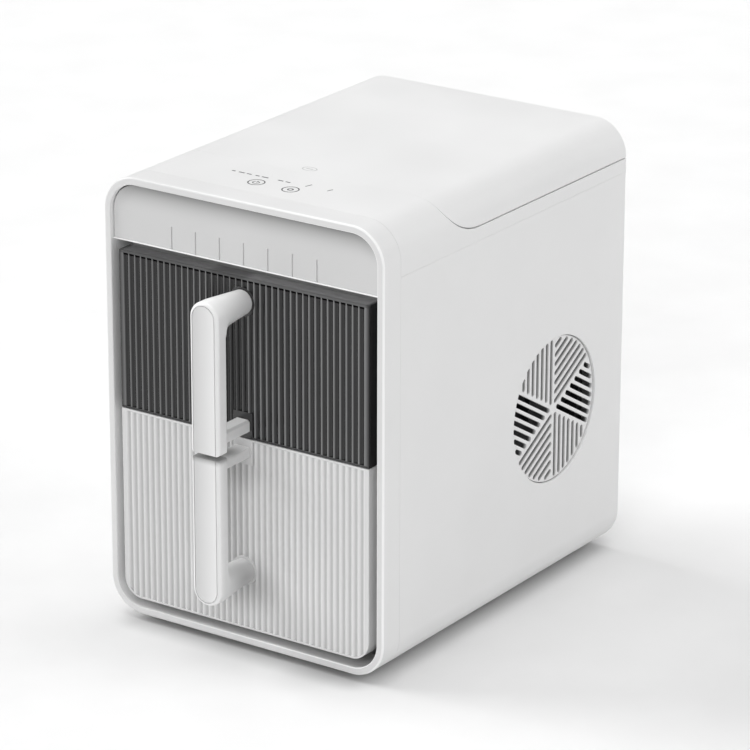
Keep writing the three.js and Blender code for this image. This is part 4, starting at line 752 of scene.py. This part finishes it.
def build_upper_cover():
    """Fixed part of the top: the field with the touch keys and a strip beside the lid."""
    low, start = PANEL_HIGH.z + CLOSED_SEAM, PANEL_LOW.y
    edge = LID_SEAM - LID_GAP / 2
    rows = arch_rows(rows_from(edge, LID_RISE + LID_GAP / 2), 0.0)
    points, faces = [], []
    for x, z in rows:
        points += [(x, start, z), (x, lid_front(z, seam_gap(z)), z)]
    for i in range(len(rows) - 1):
        faces.append((2 * i, 2 * i + 1, 2 * i + 3, 2 * i + 2))
    for side, first in ((1, 0), (-1, 2 * (len(rows) - 1))):
        base = len(points)
        turn = points[first + 1][1]
        points += [(side * HALF, y, low) for y in (start, turn, REAR)] + [(side * HALF, REAR, edge)]
        faces.append((first, base, base + 1, first + 1))
        faces.append((first + 1, base + 1, base + 2, base + 3))
    skin = mesh_object("upper_cover_skin", points, faces)
    edit(skin, lambda bm: None)
    outward(skin)
    thicken(skin, WALL)
    soften(skin, 0.25, 2, angle=50, share=seam_share)
    return skin


def outward(made):
    """Turns an open arch so that it faces up."""
    total = sum((face.normal.z * face.area for face in made.data.polygons), 0.0)
    if total < 0:
        made.data.flip_normals()


def build_lip():
    """Lip under the lid's edge, which the lid closes on."""
    inset = WALL + 0.3
    heights = rows_from(PANEL_HIGH.z + SEAM, LID_RISE, inset)
    rows = arch_rows(heights, inset)
    points, faces = [], []
    front = LID_EDGE - LIP_WIDTH
    for x, z in rows:
        inner = lid_front(z, -LIP_WIDTH) if z > LID_SEAM + LIP_WIDTH else REAR - 4.0
        points += [(x, front, z), (x, inner, z)]
    for i in range(len(rows) - 1):
        faces.append((2 * i, 2 * i + 1, 2 * i + 3, 2 * i + 2))
    made = mesh_object("upper_cover_lip", points, faces)
    edit(made, lambda bm: None)
    outward(made)
    thicken(made, LIP_T)
    return soften(made, 0.3, 2, angle=50)


def build_lid():
    """Hinged lid over the ice-making tub."""
    edge = LID_SEAM + LID_GAP / 2
    rows = arch_rows(rows_from(edge, LID_RISE - LID_GAP / 2), 0.0)
    points, faces = [], []
    for x, z in rows:
        points += [(x, lid_front(z, -seam_gap(z)), z), (x, REAR, z)]
    for i in range(len(rows) - 1):
        faces.append((2 * i, 2 * i + 1, 2 * i + 3, 2 * i + 2))
    skin = mesh_object("lid_skin", points, faces)
    edit(skin, lambda bm: None)
    outward(skin)
    thicken(skin, WALL)
    soften(skin, 0.25, 2, angle=50, share=seam_share)
    return join(skin, *build_lid_rear(edge))


def build_lid_rear(edge):
    """Rear wall of the lid over the rear cover, with a knuckle at each hinge."""
    cover_low, cover_high = span("rear_cover")
    inset = WALL / 2
    radius, centre = EDGE_R - inset, (HALF - EDGE_R, TOP - EDGE_R)
    start = math.degrees(math.asin((edge - centre[1]) / radius))
    outline = arc(centre, radius, start, 90) + arc((-centre[0], centre[1]), radius, 90, 180 - start)
    wall = prism("lid_rear_wall", outline, (cover_low.y, cover_high.y), "y")
    barrel, relief, width, rise = 4.0, 4.6, 10.0, 10.0
    knuckles = []
    for node in ("lid_hinge_pin_left", "lid_hinge_pin_right"):
        low, high = span(node)
        x, y, z = (low + high) / 2
        pin = (high.z - low.z) / 2 + 0.3
        boolean(wall, prism("relief", arc((y, z), relief, 0, 360, 12)[:-1], (x - 1.6 * width, x + 1.6 * width), "x"))
        side = [(y - barrel, z + rise)] + arc((y, z), barrel, 180, 360, 12) + [(y + barrel, z + 3), (y, z + rise)]
        knuckle = prism("knuckle", side, (x - width / 2, x + width / 2), "x", [arc((y, z), pin, 0, 360, 20)[:-1]])
        knuckles.append(soften(knuckle, 0.4, 3))
    soften(wall, 0.4, 3)
    return [wall, *knuckles]


def build_case():
    vent_low, vent_high = span("vent_grille")
    centre = ((vent_low.y + vent_high.y) / 2, (vent_low.z + vent_high.z) / 2)
    radius = (vent_high.y - vent_low.y) / 2 - VENT_FLANGE
    build_side(1, "right_side_panel", (centre, radius))
    build_side(-1, "left_side_panel", None)
    put(join(build_upper_cover(), build_lip()), "upper_cover")
    put(build_lid(), "top_lid")


# ---- Drawer fronts -----------------------------------------------------------------------------
FLUTES = 40
FLUTE_PITCH = 5.21
FLUTE_LAND = 0.9
FLUTE_DEEP = 1.2
FLUTE_CREST_R = 0.35
FRONT_FILLET = 0.5


def flute_depth(x):
    """Depth of the fluted face behind its crests at a distance from the middle."""
    if abs(x) >= FLUTES / 2 * FLUTE_PITCH:
        return 0.0
    reach = (FLUTE_PITCH - FLUTE_LAND) / 2
    across = abs(((x / FLUTE_PITCH) % 1.0) - 0.5) * FLUTE_PITCH / reach
    return FLUTE_DEEP * max(0.0, 1 - across ** 2)


def rounded_depth(x):
    """The same, with its crests eased over a small radius."""
    spread = FLUTE_CREST_R / 2
    weights = ((-1.0, 0.25), (0.0, 0.5), (1.0, 0.25))
    return sum(share * flute_depth(x + step * spread) for step, share in weights)


def front_columns(half, corner):
    """Distances from the middle at which the front is sampled."""
    xs = set()
    edge = FLUTES / 2 * FLUTE_PITCH
    stops = (0.0, 0.06, 0.1, 0.14, 0.2, 0.28, 0.37, 0.5, 0.63, 0.72, 0.8, 0.86, 0.9, 0.94)
    for i in range(FLUTES):
        for share in stops:
            xs.add(round(-edge + (i + share) * FLUTE_PITCH, 4))
    xs.add(round(edge, 4))
    reach = half - FRONT_FILLET
    if corner:
        middle = half - corner
        for angle in range(6, 91, 6):
            x = middle + (corner - FRONT_FILLET) * math.sin(math.radians(angle))
            xs.update((round(x, 4), round(-x, 4)))
    xs.update((-reach, reach))
    kept = []
    for x in sorted(v for v in xs if abs(v) <= reach + 1e-6):
        if not kept or x - kept[-1] > 0.03:
            kept.append(x)
    return kept


FLUTE_LIP = 1.1  # plain edge above and below the flutes
FLUTE_STEP = 0.25  # height over which a flute runs out
# smoked front's painted tones: light on crests, lip, margins and sides, and on the top face lighter further back;
# the pockets get painted shade
SMOKED_SHADES = {"crest": 0.35, "hollow": 0.0, "fade": 0.55, "land": 0.04, "side": 0.03, "lip": 0.17,
                 "top": ((3.0, 0.46), (6.5, 0.80), (10.0, 0.95)), "pocket": 3.4}
# white front's painted tones: light on the crests, shade in the hollows
WHITE_SHADES = {"crest": 0.9, "hollow": -0.75, "fade": 1.2, "land": 0.0, "side": 0.0, "lip": 0.0, "top": (), "pocket": 1.0}


def fluted_front(name, low, high, back, corner, tones):
    """A slab with flutes between two plain edges; its lower corners can be rounded.

    The tones are painted light and shade: of the crests, the hollows, the plain margins beside the flutes,
    the lip above them and the top face by depth; fade is the depth behind the crests at which their painted
    light ends, and pocket says how much deeper the flutes are just under the lip.
    """
    half = high.x
    face = low.y + 0.1
    xs = front_columns(half, corner)
    fillet = FRONT_FILLET
    count = len(xs)

    def foot(x):
        """Height and outward direction of the lower edge at a distance from the middle."""
        middle = half - corner
        if not corner or abs(x) <= middle:
            return low.z + fillet, (0.0, -1.0)
        rise = math.sqrt(max(0.0, (corner - fillet) ** 2 - (abs(x) - middle) ** 2))
        length = corner - fillet
        return low.z + corner - rise, ((abs(x) - middle) / length * math.copysign(1, x), -rise / length)

    def row_height(x, end, away):
        """Height of a row of the face that runs along the upper or lower edge."""
        return high.z - fillet - away if end > 0 else foot(x)[0] + away

    # rows of the face from the top: which end, distance from it, depth, and the painted light and shade of a flute
    full, open_end = FLUTE_LIP + FLUTE_STEP, FLUTES / 2 * FLUTE_PITCH
    hollow_tone = tones["hollow"]
    # where the flutes are pocketed under the lip, their hollows get painted shade, black and dull
    dark = -1.0 if tones["pocket"] > 1 else hollow_tone
    rows = [(1, FLUTE_LIP, 0.0, tones["lip"]), (1, full, tones["pocket"], dark),
            (1, full + 0.9, tones["pocket"], dark), (1, full + 1.5, 1.0, hollow_tone),
            (-1, full, 1.0, hollow_tone), (-1, FLUTE_LIP, 0.0, 0.5 * tones["lip"])]
    levels = [row_height(xs[-1], end, away) for end, away, run, hollow in rows]

    # outline of the slab: upper edge to the right, right side down, lower edge back, left side up
    loop = []
    for i, x in enumerate(xs):
        side = -1 if i == 0 else 1 if i == count - 1 else 0
        loop.append((x, high.z - fillet, (side, 1.0)))
    loop += [(xs[-1], z, (1.0, 0.0)) for z in levels]
    for i, x in reversed(list(enumerate(xs))):
        z, direction = foot(x)
        if not corner and i in (0, count - 1):
            direction = (-1.0 if i == 0 else 1.0, -1.0)
        loop.append((x, z, direction))
    loop += [(xs[0], z, (-1.0, 0.0)) for z in reversed(levels)]
    points, faces, shades, rings = [], [], [], []
    for angle in (0, 22.5, 45, 67.5, 90):
        out = fillet * math.sin(math.radians(angle))
        drop = fillet * (1 - math.cos(math.radians(angle)))
        rings.append(len(points))
        for i, (x, z, (dx, dz)) in enumerate(loop):
            points.append((x + dx * out, face + drop, z + dz * out))
            shades.append(tones["lip"] if 0 < i < count - 1 else tones["side"])
    for behind, tone in (*tones["top"], (back - face, tones["top"][-1][1] if tones["top"] else 0.0)):
        rings.append(len(points))
        for i, (x, z, (dx, dz)) in enumerate(loop):
            points.append((x + dx * fillet, face + behind, z + dz * fillet))
            shades.append(tone if 0 < i < count - 1 else tones["side"])
    total = len(loop)
    for a, b in zip(rings, rings[1:]):
        for i in range(total):
            j = (i + 1) % total
            faces.append((a + i, a + j, b + j, b + i))
    lower = count + len(rows)
    for i in range(count - 1):
        right = range(count, lower) if i == count - 2 else ()
        left = range(lower + count, total) if i == 0 else ()
        strip = (i, i + 1, *right, lower + count - 2 - i, lower + count - 1 - i, *left)
        faces.append([rings[-1] + number for number in strip])

    grid = [[rings[0] + i for i in range(count)]]
    for number, (end, away, run, hollow) in enumerate(rows):
        line = [rings[0] + total - 1 - number]
        for x in xs[1:-1]:
            line.append(len(points))
            depth = rounded_depth(x)
            points.append((x, face + run * depth, row_height(x, end, away)))
            crest = max(0.0, 1 - depth / tones["fade"])
            tone = tones["crest"] if abs(x) <= open_end else tones["land"]
            shades.append(hollow if run == 0 else crest * tone + (1 - crest) * hollow)
        grid.append([*line, rings[0] + count + number])
    grid.append([rings[0] + lower + count - 1 - i for i in range(count)])
    for upper, lower in zip(grid, grid[1:]):
        for i in range(count - 1):
            faces.append((upper[i], upper[i + 1], lower[i + 1], lower[i]))
    made = mesh_object(name, points, faces)
    edit(made, lambda bm: None)
    smooth(made, 42)
    # painted light and shade of each point, which the front's material reads
    shade = made.data.attributes.new("shade", "FLOAT", "POINT")
    shade.data.foreach_set("value", shades)
    return made


def build_front_liner(slab_high):
    """Inner plate of the ice drawer's front; it stands a little above the slab."""
    width, gap, thick, rise = 2 * slab_high.x - 4.0, 1.2, 2.5, 2.8
    bin_top = span("ice_bin")[1].z
    plate = box("ice_front_liner", (-width / 2, slab_high.y + gap, bin_top + 0.3),
                (width / 2, slab_high.y + gap + thick, slab_high.z + rise))
    soften(plate, 0.4, 3)
    place_piece(plate, "ice_drawer", "inner_liner", GREY_LINER)


def build_pads(material, body, slot, name, face, arm_z, split, sign):
    """Flat pads in the flutes that the handle's round arm and its stub stand on."""
    width, height, radius = 16.6, 19.4, 11.0
    deep = FLUTE_DEEP + 0.6
    edge = split + sign * 0.25
    z = sorted((edge, edge + sign * height))
    pad = prism(name + "_pad", rounded((-width / 2, z[0]), (width / 2, z[1]), [0.8] * 4),
                (face, face + deep), "y")
    ring = prism(name + "_ring", arc((0, arm_z), radius, 0, 360, 5)[:-1], (face, face + deep), "y")
    soften(pad, 0.25, 3)
    soften(ring, 0.25, 3)
    place_piece(join(pad, ring), body, slot, material)


# ---- Handles -----------------------------------------------------------------------------------
GRIP_T = 11.0
ARM_ROOT_R = 9.0
ARM_SWEEP = 10.0
STUB_HALF = 6.2
STUB_H = 8.6
STUB_OFFSET = 4.2


def stadium(radius, top, bottom, count=40):
    """Upright outline with round ends; top and bottom are the middles of the two rounds."""
    step = 360.0 / count
    return arc((0, top), radius, 0, 180, step) + arc((0, bottom), radius, 180, 360, step)


def loft(name, rings, cap_ends=(True, True)):
    """A closed skin through rings that have the same number of points."""
    count = len(rings[0])
    points = [p for ring in rings for p in ring]
    faces = []
    for r in range(len(rings) - 1):
        for i in range(count):
            j = (i + 1) % count
            faces.append((r * count + i, r * count + j, (r + 1) * count + j, (r + 1) * count + i))
    if cap_ends[0]:
        faces.append(tuple(range(count)))
    if cap_ends[1]:
        faces.append(tuple(range((len(rings) - 1) * count, len(rings) * count)))
    made = mesh_object(name, points, faces)
    return edit(made, lambda bm: None)


def merge_close(bm):
    """Joins points that a cut has left almost in one place."""
    bmesh.ops.remove_doubles(bm, verts=bm.verts, dist=2e-5)
    bmesh.ops.dissolve_degenerate(bm, dist=1e-5, edges=bm.edges)


def build_handle(node, cap_node, split, sign, finish, cap_finish):
    """Upright bar handle: grip, cap, tapered round arm and small square stub."""
    low, high = span(node)
    half = high.x
    length = high.z - low.z
    start = low.z if sign > 0 else high.z
    out, root = low.y, high.y
    back = out + GRIP_T

    def lift(profile, y, raise_by=0.0):
        return [(u, y, start + sign * (v + raise_by)) for u, v in profile]

    front_r, back_r = 3.0, 1.6
    rings = []
    for angle in range(0, 91, 15):
        inset = front_r * (1 - math.sin(math.radians(angle)))
        y = out + front_r * (1 - math.cos(math.radians(angle)))
        rings.append(lift(inset_profile(half, length, inset), y))
    for angle in range(0, 91, 15):
        inset = back_r * (1 - math.cos(math.radians(angle)))
        y = back - back_r * (1 - math.sin(math.radians(angle)))
        rings.append(lift(inset_profile(half, length, inset), y))
    grip = loft(node + "_grip", rings)

    arm_z = length - half
    rings = []
    sections = [(back - 0.45 * GRIP_T, half - 0.03, ARM_SWEEP)]
    sections.append((back - 0.02, half - 0.03, ARM_SWEEP))
    for angle in range(6, 91, 7):
        share = 1 - math.cos(math.radians(angle))
        y = back + ARM_SWEEP * share
        taper = (y - back) / (root - back)
        radius = (half - 0.03) * (1 - taper) + ARM_ROOT_R * taper
        sections.append((y, radius, ARM_SWEEP * (1 - math.sin(math.radians(angle)))))
    sections.append((root, ARM_ROOT_R, 0.0))
    for y, radius, sweep in sections:
        rings.append(lift(stadium(radius, arm_z, arm_z - sweep), y))
    arm = edit(loft(node + "_arm", rings), merge_close)
    chamfer = 1.6
    stub_low, stub_high = STUB_OFFSET, STUB_OFFSET + STUB_H
    stub_outline = [(-STUB_HALF, stub_low), (STUB_HALF, stub_low), (STUB_HALF, stub_high - chamfer),
                    (STUB_HALF - chamfer, stub_high), (-STUB_HALF + chamfer, stub_high),
                    (-STUB_HALF, stub_high - chamfer)]
    placed = [(u, start + sign * v) for u, v in stub_outline]
    stub = prism(node + "_stub", placed, (back - 1, root), "y")
    smooth(arm, 40)
    soften(stub, 0.3, 2)
    seam = [(u, start + sign * v) for u, v in cap_outline(half - CAP_INSET + CAP_GAP, length - half, -1.0)]
    boolean(grip, prism(node + "_groove", seam, (out - 1, out + CAP_GROOVE), "y"))
    edit(grip, merge_close)
    soften(grip, 0.25, 2, 45, share=lambda p: 1.0 if p.y < out + 0.1 else 0.0)
    smooth(edit(grip, merge_close), 45)
    put(join(grip, arm, stub), node, finish)
    outline = [(u, start + sign * v) for u, v in cap_outline(half - CAP_INSET, length - half, 0.0)]
    cap = prism(cap_node + "_plate", outline, (out, out + CAP_GROOVE), "y")
    soften(cap, 0.25, 3)
    put(cap, cap_node, cap_finish)


CAP_INSET = 3.0
CAP_GAP = 0.6
CAP_GROOVE = 1.2


def cap_outline(reach, middle, foot):
    """Outline on the grip's face with a round end about a middle, and a straight end at the foot."""
    return [(reach, foot)] + arc((0, middle), reach, 0, 180, 4) + [(-reach, foot)]


def inset_profile(half, length, inset):
    """The grip's outline with its long sides and round end moved inwards; the square end stays."""
    radius = max(2.0 - inset, 0.35)
    return (arc((half - inset - radius, radius), radius, -90, 0, 15)
            + arc((0, length - half), half - inset, 0, 180, 5)
            + arc((-half + inset + radius, radius), radius, 180, 270, 15))


def build_drawers():
    ice_low, ice_high = span("ice_drawer_front")
    tank_low, tank_high = span("tank_drawer_front")
    split = (ice_low.z + tank_high.z) / 2
    ice_front = fluted_front("ice_front", ice_low, ice_high, ice_high.y, 0.0, SMOKED_SHADES)
    put(ice_front, "ice_drawer_front", SMOKE_FLUTES_PAINTED_LIGHT)
    tank_front = fluted_front("tank_front", tank_low, tank_high, tank_high.y, 15.0, WHITE_SHADES)
    put(tank_front, "tank_drawer_front", WHITE_FLUTES_PAINTED_LIGHT)
    build_front_liner(ice_high)
    build_handle("ice_handle", "ice_handle_cap", split, 1, WHITE_HANDLE, WHITE_CAP_PAINTED_SHADE)
    build_handle("tank_handle", "tank_handle_cap", split, -1, LOWER_HANDLE_PAINTED_SHADE, LOWER_CAP_PAINTED_SHADE)
    grip_half = span("ice_handle")[1].x
    ice_arm = span("ice_handle")[1].z - grip_half
    tank_arm = span("tank_handle")[0].z + grip_half
    build_pads(SMOKE, "ice_drawer", "smoked_front", "ice", ice_low.y, ice_arm, split, 1)
    build_pads(WHITE_FRONT_PAINTED_SHADOW, "tank_drawer", "white_shell", "tank", tank_low.y, tank_arm, split, -1)


# ---- Vent grille -------------------------------------------------------------------------------
def build_grille():
    """Round grille of six sectors of parallel slots."""
    low, high = span("vent_grille")
    centre = ((low.y + high.y) / 2, (low.z + high.z) / 2)
    fit = 0.7
    radius = (high.y - low.y) / 2 - VENT_FLANGE - fit
    slot_w, pitch, per_sector, sectors, rim = 3.7, 6.2, 7, 6, 0.8
    rib = pitch - slot_w
    reach = radius - rim - slot_w / 2
    spread = 2 * math.pi / sectors
    holes = []
    for sector in range(sectors):
        angle = math.pi / 2 - sector * spread
        along = Vector((math.cos(angle), math.sin(angle)))
        across = Vector((-along.y, along.x))
        for i in range(per_sector):
            offset = rib / 2 + slot_w / 2 + i * pitch
            near = offset / math.tan(spread) + (rib / 2 + slot_w / 2) / math.sin(spread)
            far = math.sqrt(reach ** 2 - offset ** 2)
            if far <= near:
                continue
            path = arc((far, offset), slot_w / 2, -90, 90, 22.5) + arc((near, offset), slot_w / 2, 90, 270, 22.5)
            placed = [along * u + across * v for u, v in path]
            holes.append([(centre[0] + p.x, centre[1] + p.y) for p in placed])
    plate = prism("grille_plate", arc(centre, radius, 0, 360, 3)[:-1], (high.x - 3.0, high.x), "x", holes)
    soften(plate, 0.25, 2, angle=40)
    ring = prism("grille_ring", arc(centre, radius + fit + VENT_FLANGE, 0, 360, 4)[:-1],
                 (low.x, HALF - WALL - fit), "x", [arc(centre, radius - rim / 2, 0, 360, 4)[:-1]])
    soften(ring, 0.25, 2)
    seat = prism("grille_seat", arc(centre, radius - 0.02, 0, 360, 4)[:-1], (low.x, high.x - 2.9), "x",
                 [arc(centre, radius - rim / 2, 0, 360, 4)[:-1]])
    soften(seat, 0.0)
    put(join(plate, ring, seat), "vent_grille", WHITE_GRILLE_PAINTED_SHADE)


# ---- Printed marks -----------------------------------------------------------------------------
def ring_mark(centre, radius, width, squash=1.0):
    """A printed ring on the top."""
    outer, inner = (arc((0, 0), radius + side * width / 2, 0, 360, 8)[:-1] for side in (1, -1))
    outer, inner = ([(centre[0] + u, centre[1] + v * squash) for u, v in loop] for loop in (outer, inner))
    return prism("printed_marks", outer, (TOP - 0.2, TOP + 0.05), "z", [inner])


def line_mark(points, width):
    """A printed line of even width through points on the top."""
    left, right = [], []
    for i, point in enumerate(points):
        along = Vector(points[min(i + 1, len(points) - 1)]) - Vector(points[max(i - 1, 0)])
        across = Vector((-along.y, along.x)).normalized() * width / 2
        left.append(tuple(Vector(point) + across))
        right.append(tuple(Vector(point) - across))
    return prism("printed_marks", left + right[::-1], (TOP - 0.2, TOP + 0.05), "z")


def build_marks():
    """Two touch keys with signs, a row of plain bars behind them, two ticks and a faint oval."""
    keys_y, bars_y = FRONT + 41.3, FRONT + 54.0
    power_x, mode_x = -16.6, 12.7
    marks = [ring_mark((x, keys_y), 6.0, 0.9) for x in (power_x, mode_x)]
    marks.append(line_mark(arc((power_x, keys_y - 0.4), 2.4, -230, 50, 20), 0.8))
    marks.append(line_mark([(power_x, keys_y), (power_x, keys_y + 3.2)], 0.8))
    marks.append(ring_mark((mode_x, keys_y), 1.9, 1.0))
    for start, end in ((-47, -44), (-41, -36), (-34, -30), (-26.5, -23), (-21, -15.5), (-7, -2.5), (-0.5, 3.5)):
        marks.append(line_mark([(start, bars_y), (end, bars_y)], 1.3))
    for x, length in ((18.0, 5.8), (36.5, 4.8)):
        marks.append(line_mark([(x - 0.8, bars_y - 1), (x + 0.8, bars_y - 1 + length)], 0.9))
    place_piece(join(marks[0], *marks[1:]), "housing", "grey_fascia", PRINT)
    oval = ring_mark((-4.0, FRONT + 88), 5.6, 0.9, 0.7)
    core = line_mark([(-7.0, FRONT + 88), (-1.0, FRONT + 88)], 1.2)
    oval.name = "faint_mark"
    place_piece(join(oval, core), "housing", "grey_fascia", FAINT_PRINT)


# ---- Everything else ---------------------------------------------------------------------------
def build_rest():
    """Copies of the remaining CAD nodes that can be seen, with rounded edges."""
    widths = {
        "ice_bin": 0.5, "water_tank": 0.5, "ice_runner_left": 0.3, "ice_runner_right": 0.3,
        "tank_runner_left": 0.3, "tank_runner_right": 0.3, "bay_shelf": 0.5, "bulkhead": 0.4,
        "chamber_tub": 0.5, "evaporator": 0.3, "water_tray": 0.4, "tray_motor": 0.4, "chute_flap": 0.3,
        "rear_cover": 0.3, "lid_hinge_bracket_left": 0.3, "lid_hinge_bracket_right": 0.3,
        "power_inlet": 0.4, "base_plate": 0.3, "fan_shroud": 0.3, "fan_motor": 0.5, "fan_rotor": 0.2,
        "lid_hinge_pin_left": 0.3, "lid_hinge_pin_right": 0.3, "rear_screw_upper_left": 0.3,
        "rear_screw_upper_right": 0.3, "rear_screw_lower_left": 0.3, "rear_screw_lower_right": 0.3,
        "foot_front_left": 0.4, "foot_front_right": 0.4, "foot_rear_left": 0.4, "foot_rear_right": 0.4,
    }
    for node, width in widths.items():
        refined(node, BODY_OF[node], SLOT_OF[node], FINISH[SLOT_OF[node]], width)


build_frame()
build_fascia()
build_case()
build_drawers()
build_grille()
build_marks()
build_rest()


# ---- Stage, camera and light -------------------------------------------------------------------
def build_floor():
    size = 8000.0
    floor = mesh_object("floor", [(-size, -size, 0), (size, -size, 0), (size, size, 0), (-size, size, 0)],
                        [(0, 1, 2, 3)])
    paint = moulded("floor_painted_contact_shadow", (0.79, 0.79, 0.79, 1), 0.85, grain=0.0)
    # painted contact shadow on the floor around the case's footprint
    paint = spotted(paint, (0, (FRONT + REAR) / 2, 0), (22, 22, 1), 0.72,
                    core=(HALF - EDGE_R, (REAR - FRONT) / 2, 0))
    floor.data.materials.append(paint)


def build_camera():
    """Long lens from the front right, looking down."""
    data = bpy.data.cameras.new("camera")
    data.lens = 199.8
    data.sensor_width = 36.0
    data.clip_end = 100.0
    camera = bpy.data.objects.new("camera", data)
    bpy.context.scene.collection.objects.link(camera)
    azimuth, elevation, roll = math.radians(34.5), math.radians(20.17), math.radians(0.12)
    camera.matrix_world = (Matrix.Translation((1.62566, -2.33851, 1.21516)) @ Matrix.Rotation(azimuth, 4, "Z")
                           @ Matrix.Rotation(math.pi / 2 - elevation, 4, "X") @ Matrix.Rotation(roll, 4, "Z"))
    bpy.context.scene.camera = camera


def sun(name, azimuth, elevation, spread, power):
    """A wide, soft light from far away; azimuth 0 is the front, and 90 the right."""
    data = bpy.data.lights.new(name, "SUN")
    data.angle = math.radians(spread)
    data.energy = power
    light = bpy.data.objects.new(name, data)
    bpy.context.scene.collection.objects.link(light)
    a, e = math.radians(azimuth), math.radians(elevation)
    toward = Vector((math.sin(a) * math.cos(e), -math.cos(a) * math.cos(e), math.sin(e)))
    light.rotation_euler = toward.to_track_quat("Z", "Y").to_euler()


def build_light():
    world = bpy.data.worlds.new("studio")
    bpy.context.scene.world = world
    world.use_nodes = True
    sky = world.node_tree.nodes["Background"]
    sky.inputs["Color"].default_value = (1, 1, 1, 1)
    sky.inputs["Strength"].default_value = 0.22
    sun("top", 0, 88, 50, 1.24)
    sun("left", -78, 33, 36, 2.0)
    sun("back", 180, 50, 50, 0.22)
    sun("back_right", 115, 30, 35, 0.97)
    sun("front", 20, 25, 30, 0.78)
    bpy.context.scene.view_settings.view_transform = "Standard"


build_floor()
build_camera()
build_light()
